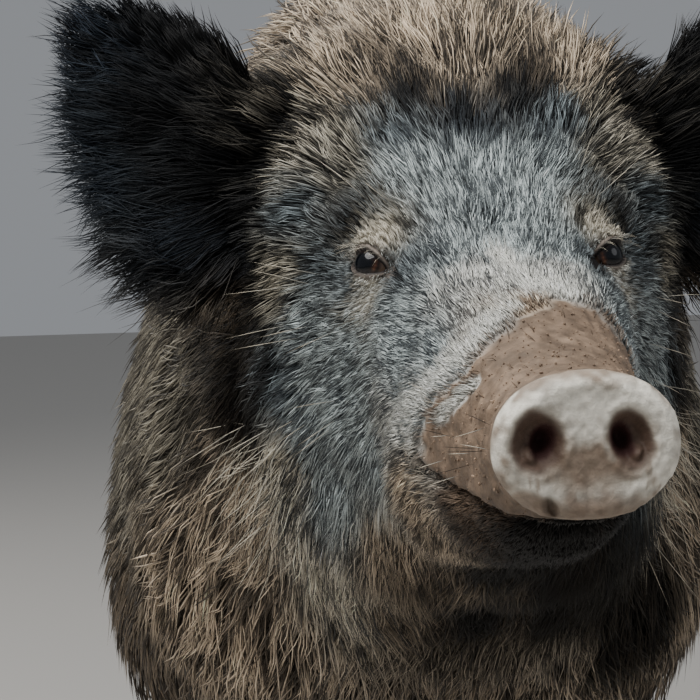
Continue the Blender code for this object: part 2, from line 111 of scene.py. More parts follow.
# Head: place (across, back, up), lie (outwards, back, up), length, depth under the tips, half
# width of a strand, curl, colour at the root and at the tip. Millimetres.
HEAD_COAT = (
    ((0, 30, 32), (0, 1, 0.1), 5, 1.5, 0.30, 0.2, WET_MUD, MUD),
    ((0, 62, 36), (0, 1, 0.1), 7, 2.5, 0.34, 0.3, WET_MUD, MUD),
    ((0, 95, 43), (0, 1, 0.1), 9, 3, 0.34, 0.3, WET_MUD, MUD),
    ((30, 40, 24), (0.2, 1, 0), 6, 2, 0.30, 0.2, WET_MUD, MUD),
    ((34, 75, 22), (0.2, 1, 0), 8, 3, 0.34, 0.3, WET_MUD, MUD),
    ((40, 45, 0), (0.2, 1, -0.1), 7, 2, 0.30, 0.2, WET_MUD, MUD),
    ((46, 80, -8), (0.2, 1, -0.2), 9, 3, 0.34, 0.3, WET_MUD, MUD),
    ((48, 98, -28), (0.2, 1, -0.3), 11, 4, 0.34, 0.3, WET_MUD, MUD),
    ((34, 45, -26), (0.2, 1, -0.3), 7, 2, 0.30, 0.2, UMBER, WET_MUD),
    ((36, 112, 46), (0.1, 1, 0.2), 11, 3.5, 0.30, 0.1, WET_MUD, MUD),
    ((0, 128, 53), (0, 1, 0.3), 16, 3.5, 0.25, 0.1, WET_MUD, TAN),
    ((0, 150, 59), (0, 1, 0.4), 18, 4, 0.24, 0, SLATE, PALE),
    ((26, 118, 44), (0.1, 1, 0.3), 15, 3.5, 0.25, 0.1, SLATE, PALE),
    ((48, 118, 20), (0.2, 1, 0.0), 15, 3.5, 0.25, 0.1, STEEL, PALE),
    ((47, 97, 8), (0.2, 1, -0.1), 11, 3, 0.25, 0.1, STEEL, PALE),
    ((58, 150, 0), (0.2, 1, -0.3), 18, 4, 0.25, 0.1, STEEL, PALE),
    ((66, 187, -16), (0.3, 1, -0.5), 21, 5, 0.25, 0.1, SLATE, PALE),
    ((52, 140, 28), (0.1, 1, 0.2), 16, 4, 0.24, 0, SLATE, SILVER),
    ((60, 175, 20), (0.2, 1, 0.0), 18, 4, 0.24, 0, SLATE, SILVER),
    ((24, 170, 64), (0.1, 1, 0.4), 18, 4, 0.24, 0, SLATE, PALE),
    ((0, 195, 76), (0, 1, 0.5), 19, 5, 0.24, 0, SLATE, SILVER),
    ((32, 200, 76), (0.2, 1, 0.6), 19, 5, 0.24, 0, SLATE, SILVER),
    ((0, 225, 92), (0, 0.8, 0.7), 21, 5.5, 0.24, 0, SLATE, SILVER),
    ((30, 235, 97), (0.3, 0.8, 0.7), 21, 5.5, 0.24, 0, SLATE, SILVER),
    ((0, 256, 112), (0, 0.6, 0.9), 25, 7, 0.25, 0, SLATE, SILVER),
    ((40, 260, 112), (0.4, 0.6, 0.8), 25, 7, 0.25, 0, SLATE, SILVER),
    ((64, 252, 92), (0.6, 0.7, 0.6), 16, 5, 0.23, 0, BLACK, STEEL),
    ((62, 246, 79), (0.6, 0.7, 0.6), 10, 4, 0.21, 0, FAWN, CREAM),
    ((71, 261, 84), (0.8, 0.6, 0.5), 15, 5, 0.23, 0, BLACK, SLATE),
    ((55, 213, 62), (0.3, 0.9, 0.2), 11, 4, 0.21, 0, SLATE, STEEL),
    ((62, 208, 40), (0.4, 0.9, -0.2), 15, 4, 0.23, 0, SLATE, SILVER),
    ((69, 229, 44), (0.5, 0.8, -0.3), 11, 4, 0.21, 0, FAWN, PALE),
    ((74, 236, 22), (0.5, 0.8, -0.4), 19, 5, 0.24, 0, SLATE, SILVER),
    ((80, 246, 56), (0.7, 0.8, 0.1), 16, 5, 0.23, 0, SLATE, STEEL),
    ((0, 284, 133), (0, 0.4, 1), 32, 10, 0.32, 0.1, BLACK, SLATE),
    ((26, 306, 151), (0.2, 0.4, 1), 36, 12, 0.32, 0.1, BLACK, BLACK),
    ((44, 323, 160), (0.3, 0.3, 1), 40, 14, 0.32, 0.1, BLACK, UMBER),
    ((45, 286, 134), (0.4, 0.4, 0.9), 32, 10, 0.32, 0.1, BLACK, STEEL),
    ((76, 280, 112), (0.8, 0.4, 0.6), 32, 10, 0.32, 0.1, BLACK, FAWN),
    ((0, 318, 160), (0, 0.2, 1), 48, 17, 0.36, 0.2, BLACK, TAN),
    ((62, 330, 156), (0.5, 0.2, 0.9), 48, 17, 0.36, 0.2, BLACK, TAN),
    ((20, 338, 172), (0.2, 0.3, 1), 50, 18, 0.36, 0.2, BLACK, TAN),
    ((82, 318, 140), (0.8, 0.2, 0.6), 46, 16, 0.36, 0.2, BLACK, FAWN),
    ((100, 318, 112), (0.9, 0.3, 0.3), 38, 14, 0.34, 0.2, BLACK, CREAM),
    ((0, 365, 189), (0, 0.4, 1), 58, 20, 0.40, 0.2, BLACK, TAN),
    ((60, 368, 184), (0.4, 0.4, 0.9), 56, 20, 0.40, 0.2, BLACK, TAN),
    ((0, 420, 198), (0, 0.8, 0.8), 66, 24, 0.50, 0.2, BLACK, TAN),
    ((60, 425, 190), (0.3, 0.8, 0.6), 60, 22, 0.50, 0.2, EARTH, TAN),
    ((98, 298, 88), (0.9, 0.4, 0.1), 30, 9, 0.30, 0.1, BLACK, STEEL),
    ((90, 265, 62), (0.8, 0.6, 0.0), 25, 7, 0.25, 0, BLACK, STEEL),
    ((93, 268, 30), (0.6, 0.8, -0.3), 26, 8, 0.25, 0, SLATE, SILVER),
    ((106, 300, 50), (0.7, 0.7, -0.4), 26, 9, 0.30, 0.2, BLACK, FAWN),
    ((82, 235, 0), (0.4, 0.8, -0.5), 25, 7, 0.25, 0, SLATE, SILVER),
    ((99, 272, -14), (0.5, 0.7, -0.7), 30, 10, 0.28, 0.1, SLATE, SILVER),
    ((113, 304, -10), (0.6, 0.7, -0.7), 34, 12, 0.34, 0.5, SOOT, STEEL),
    ((118, 340, 20), (0.6, 0.7, -0.5), 38, 13, 0.34, 0.3, SOOT, EARTH),
    ((120, 370, 60), (0.6, 0.8, -0.3), 38, 13, 0.36, 0.2, UMBER, BROWN),
    ((78, 215, -42), (0.2, 0.6, -0.8), 28, 8, 0.28, 0.1, SLATE, SILVER),
    ((64, 175, -48), (0.3, 0.8, -0.6), 20, 6, 0.28, 0.2, EARTH, TAN),
    ((90, 262, -66), (0.15, 0.35, -1), 40, 13, 0.30, 0.35, SLATE, SILVER),
    ((108, 310, -62), (0.35, 0.4, -1), 46, 17, 0.34, 0.7, SLATE, CREAM),
    ((122, 361, -80), (0.4, 0.5, -0.9), 50, 20, 0.36, 0.7, EARTH, TAN),
    ((54, 180, -76), (0.15, 0.5, -0.9), 28, 8, 0.28, 0.3, EARTH, TAN),
    ((66, 240, -100), (0.05, 0.3, -1), 44, 13, 0.30, 0.4, EARTH, TAN),
    ((76, 309, -131), (0.05, 0.2, -1), 56, 18, 0.34, 0.5, SLATE, CREAM),
    ((118, 414, -150), (0.2, 0.4, -1), 58, 22, 0.46, 0.5, EARTH, TAN),
    # under the chin and along the throat the coat is painted near black and dark mud, as painted shade
    # under the head
    ((0, 45, -49), (0, 0.9, -0.5), 8, 2.5, 0.30, 0.1, SOOT, SOOT),
    ((0, 90, -70), (0, 0.9, -0.5), 12, 4, 0.32, 0.1, SOOT, SOOT),
    ((28, 58, -50), (0.2, 0.9, -0.4), 10, 3, 0.30, 0.1, UMBER, WET_MUD * 0.5),
    ((34, 108, -64), (0.2, 0.9, -0.6), 16, 5, 0.32, 0.2, UMBER, WET_MUD * 0.8),
    ((0, 150, -84), (0, 0.8, -0.7), 22, 7, 0.34, 0.2, SOOT, SOOT),
    ((0, 230, -110), (0, 0.6, -0.9), 34, 11, 0.38, 0.3, SOOT, SOOT),
    ((34, 250, -118), (0.1, 0.5, -0.9), 38, 12, 0.36, 0.3, SOOT, BROWN),
    ((0, 300, -145), (0, 0.6, -0.9), 46, 15, 0.42, 0.4, SOOT, SOOT),
    ((45, 305, -140), (0, 0.3, -1), 48, 16, 0.36, 0.4, UMBER, BROWN),
    ((0, 420, -190), (0, 0.7, -0.8), 50, 20, 0.60, 0.4, UMBER, BROWN),
    # the ear: its foot, the hollow, the outer and lower edges, the tip and the back; the blue-grey
    # of its tips and edges is painted sheen
    ((112, 338, 120), (0.9, 0.1, 0.3), 44, 3, 0.26, 0.3, INK, BLACK),
    ((112, 336, 88), (0.9, 0.1, -0.3), 44, 3, 0.26, 0.3, INK, BLACK),
    ((140, 342, 110), (1.0, 0.1, -0.1), 50, 3, 0.26, 0.3, INK, BLACK),
    ((172, 350, 140), (1.0, 0.1, 0.2), 48, 3, 0.26, 0.3, INK, BLACK),
    ((192, 356, 172), (0.9, 0.1, 0.4), 34, 2.5, 0.25, 0.3, INK, BLUE_SHEEN),
    ((125, 338, 56), (0.7, 0.2, -0.65), 52, 3, 0.27, 0.4, INK, BLUE_SHEEN),
    ((150, 340, 68), (0.85, 0.1, -0.45), 56, 3, 0.27, 0.4, INK, BLUE_SHEEN),
    ((180, 350, 100), (0.95, 0.1, -0.3), 50, 3, 0.26, 0.4, BLUE_SHEEN, SLATE),
    ((198, 358, 138), (1.0, 0.1, -0.05), 38, 2.5, 0.25, 0.4, BLUE_SHEEN, SLATE),
    ((125, 345, 168), (0.5, 0.2, 0.9), 34, 3, 0.28, 0.2, INK, BLACK),
    ((160, 352, 190), (0.6, 0.1, 0.8), 28, 2.5, 0.27, 0.2, INK, BLACK),
    ((130, 372, 110), (0.8, 0.3, 0.4), 30, 4, 0.40, 0.1, INK, BLUE_SHEEN),
    ((175, 372, 150), (0.8, 0.3, 0.5), 28, 3, 0.38, 0.1, INK, BLUE_SHEEN),
    # behind the ruff and round the ear's foot the neck is painted dark, as painted shade
    ((122, 350, -30), (0.4, 0.6, -0.8), 40, 14, 0.36, 0.3, SOOT, UMBER),
    ((96, 338, 128), (0.7, 0.1, 0.6), 34, 4, 0.28, 0.2, INK, UMBER),
    ((123, 348, 34), (0.5, 0.6, -0.8), 38, 9, 0.30, 0.5, BLACK, BROWN),
)

# Body: place (across from the middle plane, along, up), and then the same.
BODY_COAT = (
    ((0, -330, 800), (0, 0.9, 0.5), 72, 32, 0.75, 0.1, BLACK, TAN),
    ((0, -200, 830), (0, 1, 0.4), 70, 36, 0.80, 0.1, BLACK, TAN),
    ((0, -50, 835), (0, 1, 0.3), 70, 34, 0.85, 0.1, BLACK, TAN),
    ((0, 130, 805), (0, 1, 0.3), 78, 28, 0.9, 0.1, UMBER, TAN),
    ((0, 330, 770), (0, 1, 0.2), 66, 22, 0.95, 0.1, UMBER, BROWN),
    ((0, 540, 735), (0, 1, 0.1), 56, 18, 0.95, 0.1, UMBER, BROWN),
    ((0, 680, 690), (0, 0.8, -0.5), 48, 15, 0.9, 0.1, UMBER, BROWN),
    ((90, -290, 740), (0.4, 0.8, 0), 64, 25, 0.6, 0.2, EARTH, TAN),
    ((150, -300, 640), (0.3, 0.8, -0.4), 56, 22, 0.5, 0.2, EARTH, FAWN),
    ((165, -310, 540), (0.2, 0.8, -0.5), 54, 22, 0.5, 0.3, EARTH, FAWN),
    ((140, -330, 430), (0.2, 0.7, -0.7), 54, 22, 0.55, 0.4, UMBER, TAN),
    ((0, -270, 335), (0, 0.7, -0.7), 48, 20, 0.7, 0.4, UMBER, BROWN),
    ((110, -150, 730), (0.3, 0.9, -0.2), 66, 25, 0.8, 0.1, EARTH, TAN),
    ((170, -180, 600), (0.1, 0.9, -0.4), 60, 23, 0.7, 0.1, EARTH, FAWN),
    ((190, -170, 480), (0, 0.8, -0.6), 54, 21, 0.7, 0.2, EARTH, FAWN),
    ((175, -160, 400), (0, 0.7, -0.8), 48, 18, 0.7, 0.2, UMBER, BROWN),
    ((110, 60, 720), (0.2, 0.9, -0.3), 64, 23, 1.0, 0.1, EARTH, BROWN),
    ((180, 20, 560), (0, 0.9, -0.5), 58, 20, 1.0, 0.1, EARTH, FAWN),
    ((180, 20, 440), (0, 0.9, -0.5), 54, 19, 1.0, 0.1, EARTH, FAWN),
    ((100, 300, 700), (0.2, 0.9, -0.3), 58, 19, 1.0, 0.1, EARTH, BROWN),
    ((160, 250, 560), (0, 0.9, -0.5), 54, 18, 1.0, 0.1, EARTH, BROWN),
    ((150, 250, 440), (0, 0.9, -0.5), 52, 17, 1.0, 0.1, EARTH, BROWN),
    ((120, 450, 620), (0, 0.8, -0.6), 50, 16, 1.0, 0.1, EARTH, BROWN),
    ((130, 480, 520), (0, 0.7, -0.8), 46, 14, 0.95, 0.1, UMBER, BROWN),
    ((70, 640, 620), (0, 0.5, -0.9), 44, 14, 0.9, 0.1, UMBER, BROWN),
    ((0, 690, 600), (0, 0.3, -1), 32, 10, 0.8, 0.1, UMBER, EARTH),
    ((0, -80, 312), (0, 0.9, -0.3), 38, 12, 0.9, 0.2, UMBER, EARTH),
    ((100, -60, 330), (0.1, 0.9, -0.3), 42, 13, 0.9, 0.2, UMBER, BROWN),
    ((0, 150, 330), (0, 0.9, -0.3), 38, 12, 0.9, 0.2, UMBER, EARTH),
    ((100, 160, 350), (0.1, 0.9, -0.3), 42, 13, 0.9, 0.2, UMBER, BROWN),
    ((0, 380, 385), (0, 0.9, -0.2), 32, 10, 0.8, 0.1, UMBER, EARTH),
    # front leg, hind leg, and the tail from root to tuft
    ((150, -110, 350), (0, 0.4, -1), 40, 13, 0.7, 0.1, UMBER, BROWN),
    ((80, -110, 350), (0, 0.4, -1), 34, 11, 0.7, 0.1, UMBER, EARTH),
    ((115, -95, 280), (0, 0.2, -1), 28, 8, 0.55, 0, BLACK, EARTH),
    ((109, -100, 200), (0, 0.1, -1), 20, 4.5, 0.45, 0, BLACK, UMBER),
    ((108, -95, 140), (0, 0.1, -1), 16, 3.5, 0.42, 0, BLACK, UMBER),
    ((109, -118, 80), (0, 0.1, -1), 10, 1.5, 0.38, 0, BLACK, UMBER),
    ((109, -125, 35), (0, 0.1, -1), 7, 0.5, 0.34, 0, BLACK, UMBER),
    ((150, 500, 420), (0, 0.3, -1), 38, 11, 0.7, 0.1, UMBER, BROWN),
    ((60, 500, 420), (0, 0.3, -1), 32, 9, 0.7, 0.1, UMBER, EARTH),
    ((96, 540, 320), (0, 0.2, -1), 26, 7, 0.55, 0, UMBER, EARTH),
    ((96, 595, 235), (0, 0.2, -1), 18, 4, 0.45, 0, BLACK, UMBER),
    ((96, 585, 150), (0, 0, -1), 16, 3.5, 0.42, 0, BLACK, UMBER),
    ((96, 560, 80), (0, 0, -1), 10, 1.5, 0.38, 0, BLACK, UMBER),
    ((96, 550, 35), (0, 0, -1), 7, 0.5, 0.34, 0, BLACK, UMBER),
    ((0, 720, 660), (0, 0.2, -1), 30, 6, 0.6, 0.1, UMBER, BROWN),
    ((0, 745, 560), (0, 0, -1), 26, 4, 0.5, 0.1, BLACK, EARTH),
    ((0, 743, 460), (0, 0, -1), 40, 5, 0.5, 0.2, BLACK, BLACK),
)
LIE, LENGTH, DEPTH, WIDTH, CURL, ROOT, TIP = slice(0, 3), 3, 4, 5, 6, slice(7, 10), slice(10, 13)
BLEND = 0.012                   # places nearer than this share the say
BATCH = 20000                   # points worked out at once


def chart():
    """World places of all rows on both sides, and their values in columns LIE to TIP."""
    places, values = [], []
    for rows, of_head in ((HEAD_COAT, True), (BODY_COAT, False)):
        for place, lie, length, depth, width, curl, root, tip in rows:
            for side in ((1, -1) if place[0] else (1,)):
                flip = np.array((side, 1, 1))
                spot, way = np.array(place) * MM * flip, np.array(lie) * flip
                spot = from_head(spot) if of_head else spot + (MIDDLE, 0, 0)
                way = way @ HEAD_AXES if of_head else way
                sizes = (length * MM, depth * MM, width * MM, curl)
                places.append(spot)
                values.append((*(way / np.linalg.norm(way)), *sizes, *root, *tip))
    return np.array(places), np.array(values)


CHART_PLACES, CHART_VALUES = chart()


def coat_at(points):
    """The chart's values at each point, blended from the rows near it."""
    out = np.empty((len(points), CHART_VALUES.shape[1]))
    for start in range(0, len(points), BATCH):
        gap = ((points[start:start + BATCH, None] - CHART_PLACES[None]) ** 2).sum(2)
        say = 1 / (gap + BLEND**2) ** 2.5
        out[start:start + BATCH] = say @ CHART_VALUES / say.sum(1, keepdims=True)
    return out


HASH = np.array((73856093, 19349663, 83492791), np.uint32)  # large primes that scatter the cells
HASH_END = np.uint32(1274126177)


def noise(points, size, seed):
    """Smooth chance values from -1 to 1, alike over patches of about the given size."""
    grid = np.asarray(points, dtype=float) / size + seed * 31.7
    cell = np.floor(grid).astype(np.int64)
    part = grid - cell
    part = part * part * (3 - 2 * part)
    total = np.zeros(len(grid))
    for corner in np.ndindex(2, 2, 2):
        at = (cell + corner).astype(np.uint32) * HASH
        mixed = at[:, 0] ^ at[:, 1] ^ at[:, 2]
        mixed = (mixed ^ (mixed >> 13)) * HASH_END
        value = ((mixed ^ (mixed >> 16)) & 0xFFFF) / 32767.5 - 1
        total += value * np.prod(np.where(corner, part, 1 - part), axis=1)
    return total


def rise(value, low, high):
    """0 below low, 1 above high, and a smooth slope between."""
    share = np.clip((value - low) / (high - low), 0, 1)
    return share * share * (3 - 2 * share)


# Marks over the chart's blend, each a chain of places in the head with half its width. The pale
# ones are on the right side of the snout. Dark ones are painted shade: under the chin and throat,
# under the jaw on the left, and on both sides in the crease over the eye, the tear groove and the
# cleft between the ruff and the neck.
PALE_MARKS = (
    (((-12, 130, 51), (-23, 118, 45), (-36, 112, 35), (-48, 120, 22), (-58, 147, 4), (-66, 187, -16)), 7.5),
    (((-40, 84, 18), (-48, 99, 8), (-54, 119, -5)), 5.5),
    (((-5, 187, 72), (6, 150, 58), (22, 150, 56)), 9.0),
)


def on_both(chain, half):
    return [([(side * across, back, up) for across, back, up in chain], half) for side in (1, -1)]


# the clefts between the ruff and the neck have a thin coat and painted shade
CLEFTS = on_both(((118, 322, 40), (114, 304, 12), (118, 326, -34), (127, 356, -84)), 10.0)
# the dark marks are painted shade, where shade falls under the head and in creases and clefts
SHADE_MARKS = (
    *on_both(((77, 263, 74), (71, 261, 85), (61, 252, 88), (50, 243, 86), (44, 234, 80)), 3.2),
    *on_both(((52, 225, 60), (55, 213, 57)), 2.0),
    (((-8, 40, -52), (10, 120, -76), (40, 220, -110), (60, 330, -150)), 38.0),
    (((30, 70, -62), (66, 200, -95), (92, 320, -125), (110, 420, -170), (110, 560, -190)), 54.0),
    *CLEFTS,
)
# Dried mud cakes the snout as far back as this for each angle round it, from straight up towards
# the left side, in degrees and millimetres.
MUD_BACK = (
    (-180, 5), (-158, 18), (-146, 52), (-131, 96), (-116, 140), (-101, 148), (-84, 125), (-60, 98),
    (-41, 94), (-11, 112), (15, 134), (36, 146), (60, 150), (90, 124), (131, 50), (155, 18), (180, 5),
)
MUD_FADE = 1.2                  # the mud's lower border is wider than the upper one by this share
MARK_EDGE = (0.45, 1.20)        # a mark fades out between these shares of its half width


def along_chain(at, chain):
    """Distance of each place from a chain of places."""
    chain = np.array(chain) * MM
    gaps = []
    for start, end in zip(chain[:-1], chain[1:]):
        way = end - start
        share = np.clip((at - start) @ way / (way @ way), 0, 1)
        gaps.append(np.linalg.norm(at - start - share[:, None] * way, axis=1))
    return np.min(gaps, axis=0)


def mark_at(at, marks=PALE_MARKS):
    """How much of the marks lies at each place in the head, 0 to 1."""
    torn = 0.0030 * noise(at, 0.009, 61) + 0.0016 * noise(at, 0.003, 62)
    total = np.zeros(len(at))
    for chain, half in marks:
        gap = along_chain(at, chain) + torn
        total = np.maximum(total, 1 - rise(gap, MARK_EDGE[0] * half * MM, MARK_EDGE[1] * half * MM))
    return total


def mud_at(at):
    """How thick dried mud cakes the snout, 0 to 1, for places in the head."""
    torn = 0.012 * noise(at, 0.022, 3) + 0.006 * noise(at, 0.007, 4)
    angle = np.degrees(np.arctan2(at[:, 0], at[:, 2] + 0.005))
    limit = np.interp(angle, *np.transpose(MUD_BACK)) * MM
    fade = 1 + MUD_FADE * rise(-at[:, 2], 0, 0.030)
    caked = 1 - rise((at[:, 1] + torn - limit) / fade, -0.010, 0.008)
    return caked * rise(at[:, 1], 0.005, 0.012) * (1 - mark_at(at))


# ---- the skin ---------------------------------------------------------------------------------
# One hide over head, ears, neck, trunk, tail and legs, with no seam. It starts as the flesh solids
# melted together, sinks under the tips of the coat, and is then worked finer on the face.
FLESH = ["head", "lower_jaw", "nose_disc", "neck", "trunk", "tail", "ear_left", "ear_right",
         "leg_front_left", "leg_front_right", "leg_hind_left", "leg_hind_right"]
FILLERS = ["eye_left", "eye_right"]  # melted in as well, so that no socket stays hollow
CLOSE_CUTS = 0.0006             # each solid swells by this, which closes the thin cuts
SIDES = {"left": 1, "right": -1}
HIDE_VOXEL = 0.0041
SINK_STEPS = 6
PAD = ((0.05, 0.0105), (0.35, 0.0120), (0.7, 0.0140))  # spheres from a dewclaw to its pastern
PLUG = {"radius": 0.0135, "depth": 0.016, "at": (0.0205, 0.0098, 0.003)}  # fills a nostril of the solid
BODY_SHARE = 0.09               # of the hide's faces behind the head that are kept
HEAD_BACK = 0.38                # the head ends this far behind the disc
FACE_BACK = 0.285               # the face is worked finer as far back as this
EAR_FLESH = (0.77, 0.86)        # the ear's flesh without its hair: share of its width and length
FOOT = np.array((0.092, 0.345, 0.062))  # the ear's foot on the left side of the head
EAR_LEAN, EAR_FACING = np.array((0.63, 0.12, 0.77)), np.array((0.22, -0.95, 0.10))


def ear_frame(side):
    """An ear's foot and its directions: along to the tip, across, and the way its hollow looks."""
    along, facing = EAR_LEAN / np.linalg.norm(EAR_LEAN), EAR_FACING / np.linalg.norm(EAR_FACING)
    facing = facing - along * (facing @ along)
    axes = np.array((along, np.cross(facing, along), facing)) * (side, 1, 1)
    return from_head(FOOT * (side, 1, 1)), axes @ HEAD_AXES


def bared(places, side):
    """An ear's places drawn in to its flesh, more the farther they are from the foot."""
    foot, axes = ear_frame(side)
    local = (places - foot) @ axes.T
    free = rise(local[:, 0], -0.005, 0.045)
    local[:, 0] *= 1 - (1 - EAR_FLESH[1]) * free
    local[:, 1] *= 1 - (1 - EAR_FLESH[0]) * free
    return foot + local @ axes


def added(name, data):
    """A new object of the scene."""
    thing = bpy.data.objects.new(name, data)
    bpy.context.scene.collection.objects.link(thing)
    return thing


bpy.ops.object.select_all(action="DESELECT")
lumps = []
for name in FLESH + FILLERS:
    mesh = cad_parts[name].data.copy()
    work = bmesh.new()
    work.from_mesh(mesh)
    bmesh.ops.remove_doubles(work, verts=work.verts[:], dist=1e-5)
    work.normal_update()
    for vertex in work.verts:
        vertex.co += vertex.normal * (CLOSE_CUTS if name in FLESH else 0)
    if name.startswith("ear"):
        spots = np.array([vertex.co for vertex in work.verts])
        for vertex, spot in zip(work.verts, bared(spots, SIDES[name[4:]])):
            vertex.co = spot
    work.to_mesh(mesh)
    work.free()
    lumps.append(added("lump", mesh))
# The nostrils are carved anew at full fineness below, so the disc's own hollows are plugged.
for side in (1, -1):
    bpy.ops.mesh.primitive_cylinder_add(vertices=32, radius=PLUG["radius"], depth=PLUG["depth"],
                                        location=from_head(np.array(PLUG["at"]) * (side, 1, 1)),
                                        rotation=(pi / 2, 0, HEAD_TURN))
    lumps.append(bpy.context.object)
# Each dewclaw grows out of a pad of flesh behind the pastern.
for leg in [name for name in FLESH if name.startswith("leg")]:
    claws = [np.array(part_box(leg.replace("leg", "dewclaw") + end)) for end in ("_inner", "_outer")]
    between = np.mean([box.mean(0)[:2] for box in claws], axis=0)
    for low, high in claws:
        claw = np.array((*(low + high)[:2] / 2, high[2] - 0.004))
        pastern = np.array((*between, claw[2] + 0.008)) - (0, 0.016, 0)
        for share, radius in PAD:
            bpy.ops.mesh.primitive_uv_sphere_add(segments=24, ring_count=16, radius=radius,
                                                 location=claw + (pastern - claw) * share)
            lumps.append(bpy.context.object)
for lump in lumps:
    lump.select_set(True)
bpy.context.view_layer.objects.active = lumps[0]
bpy.ops.object.join()
hide = bpy.context.object
hide.name = "skin"
hide.data.name = "skin"
melt = hide.modifiers.new("melt", "REMESH")
melt.mode = "VOXEL"
melt.voxel_size = HIDE_VOXEL
bpy.ops.object.modifier_apply(modifier="melt")


def read(mesh, what="co"):
    source, name = (mesh.vertices, "co") if what == "co" else (mesh.vertex_normals, "vector")
    values = np.empty(len(mesh.vertices) * 3, np.float32)
    source.foreach_get(name, values)
    return values.reshape(-1, 3).astype(float)


def write(mesh, places):
    mesh.vertices.foreach_set("co", places.astype(np.float32).ravel())
    mesh.update()


def whole(items, what, per=1):
    """One whole-number property of a mesh's edges, faces or corners as an array."""
    values = np.empty(len(items) * per, np.int32)
    items.foreach_get(what, values)
    return values.reshape(-1, per) if per > 1 else values


def edges_of(mesh):
    return whole(mesh.edges, "vertices", 2)


def starts_of(sizes):
    """Where each face's corners start in the row of all corners."""
    return np.concatenate(([0], np.cumsum(sizes)[:-1]))


def eased(places, pairs, share):
    """Each place moved part of the way to the middle of its neighbours."""
    count = np.bincount(pairs.ravel(), minlength=len(places))[:, None]
    total = np.zeros_like(places)
    for axis in range(3):
        total[:, axis] += np.bincount(pairs[:, 0], places[pairs[:, 1], axis], len(places))
        total[:, axis] += np.bincount(pairs[:, 1], places[pairs[:, 0], axis], len(places))
    share = np.asarray(share).reshape(-1, 1)
    return places + share * (total / np.maximum(count, 1) - places)


# Which solid each point of the hide came from, before it sinks.
corners, triangles, owner = [], [], []
for number, name in enumerate(FLESH):
    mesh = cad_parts[name].data
    start = sum(len(part) for part in corners)
    corners.append(read(mesh))
    for face in mesh.polygons:
        triangles.append([start + k for k in face.vertices])
        owner.append(number)
tree = BVHTree.FromPolygons(np.concatenate(corners).tolist(), triangles)
places = read(hide.data)
part_of = np.array([owner[tree.find_nearest(place)[2]] for place in places.tolist()])

pairs = edges_of(hide.data)
on_disc = part_of == FLESH.index("nose_disc")
for step in range(4):
    places = eased(places, pairs, np.where(on_disc, 0.15, 0.5))
depth = coat_at(places)[:, DEPTH]
depth *= rise(in_head(places)[:, 1], 0.012, 0.034)
for step in range(SINK_STEPS):
    write(hide.data, places)
    places = places - read(hide.data, "normal") * (depth / SINK_STEPS)[:, None]
    places = eased(places, pairs, np.where(on_disc, 0.0, 0.35))
write(hide.data, places)

whose = KDTree(len(places))      # tells later which solid a place of the hide came from
for number, place in enumerate(places.tolist()):
    whose.insert(place, number)
whose.balance()


def select(mesh, chosen):
    """Selects vertices by a true-or-false array, with the edges and faces between them."""
    mesh.vertices.foreach_set("select", chosen)
    mesh.edges.foreach_set("select", chosen[edges_of(mesh)].all(1))
    starts = starts_of(whole(mesh.polygons, "loop_total"))
    inside = np.logical_and.reduceat(chosen[whole(mesh.loops, "vertex_index")], starts)
    mesh.polygons.foreach_set("select", inside)


def edit(chosen, operator, **settings):
    """Runs one edit-mode operator on the chosen vertices of the hide."""
    select(hide.data, chosen)
    bpy.ops.object.mode_set(mode="EDIT")
    operator(**settings)
    bpy.ops.object.mode_set(mode="OBJECT")


bpy.ops.object.mode_set(mode="EDIT")
bpy.ops.mesh.select_mode(type="VERT")
bpy.ops.object.mode_set(mode="OBJECT")
ears = (part_of == FLESH.index("ear_left")) | (part_of == FLESH.index("ear_right"))
edit((in_head(places)[:, 1] > HEAD_BACK) & ~ears, bpy.ops.mesh.decimate, ratio=BODY_SHARE)


# ---- the face's relief -------------------------------------------------------------------------
# Under the short coat of the face the flesh has brows, hollows before the eyes, folds behind the
# nose disc and the line of the mouth. The face is divided finer, and most of all round eyes and disc.
DISC_HALF = np.array((0.0440, 0.0345))
SWELLS = (                      # place in the head, radius, height: millimetres
    ((60, 268, 96), 20, 4.0),   # brow over the eye
    ((44, 232, 84), 16, 2.0),   # inner end of the brow
    ((80, 262, 38), 24, 2.5),   # cheekbone under the eye
    ((50, 205, 52), 15, -2.5),  # hollow before the eye
    ((52, 170, 34), 18, -1.5),
    ((0, 215, 84), 16, -1.5),   # dip between the brows
    ((0, 120, 50), 26, 1.5),    # bridge
    ((46, 120, -40), 16, 2.0),  # upper lip
    ((60, 190, -50), 24, 2.5),
)
MOUTH = ((20, -43.0), (165, -32.0))  # back and up of the mouth's line at both ends
MOUTH_DEEP, MOUTH_HALF = 0.0050, 0.0032
LIP = {"high": 0.0015, "above": 0.008, "half": 0.004}  # the upper lip's roll over the mouth's line
FOLDS = (30, 37.5, 46.5, 57)     # how far back the folds behind the disc run
FOLD_HIGH, FOLD_HALF, FOLD_WAVER = 0.0009, 0.0030, 0.002
MUD_THICK = 0.0010
CRUMB, CRUMB_HIGH = 0.0045, 0.0011  # a crumb of dried mud


def finer(reach):
    """Divides every face of the hide whose places in the head are within the reach, a function."""
    edit(reach(in_head(read(hide.data))), bpy.ops.mesh.subdivide, number_cuts=1)


def hump(value, half):
    """1 where the value is 0, falling off on both sides over the half width."""
    return np.exp(-(value / half) ** 2)


EYE_OUT = {1: 0.0, -1: 0.0025}   # each ball sits this much farther out than the solids'
EYES = {side: middle_of("eye_" + word) + HEAD_AXES[0] * side * EYE_OUT[side]
        for word, side in SIDES.items()}
EYE_RADIUS = (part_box("eye_left")[1][2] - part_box("eye_left")[0][2]) / 2
eye_spots = [in_head(spot) for spot in EYES.values()]


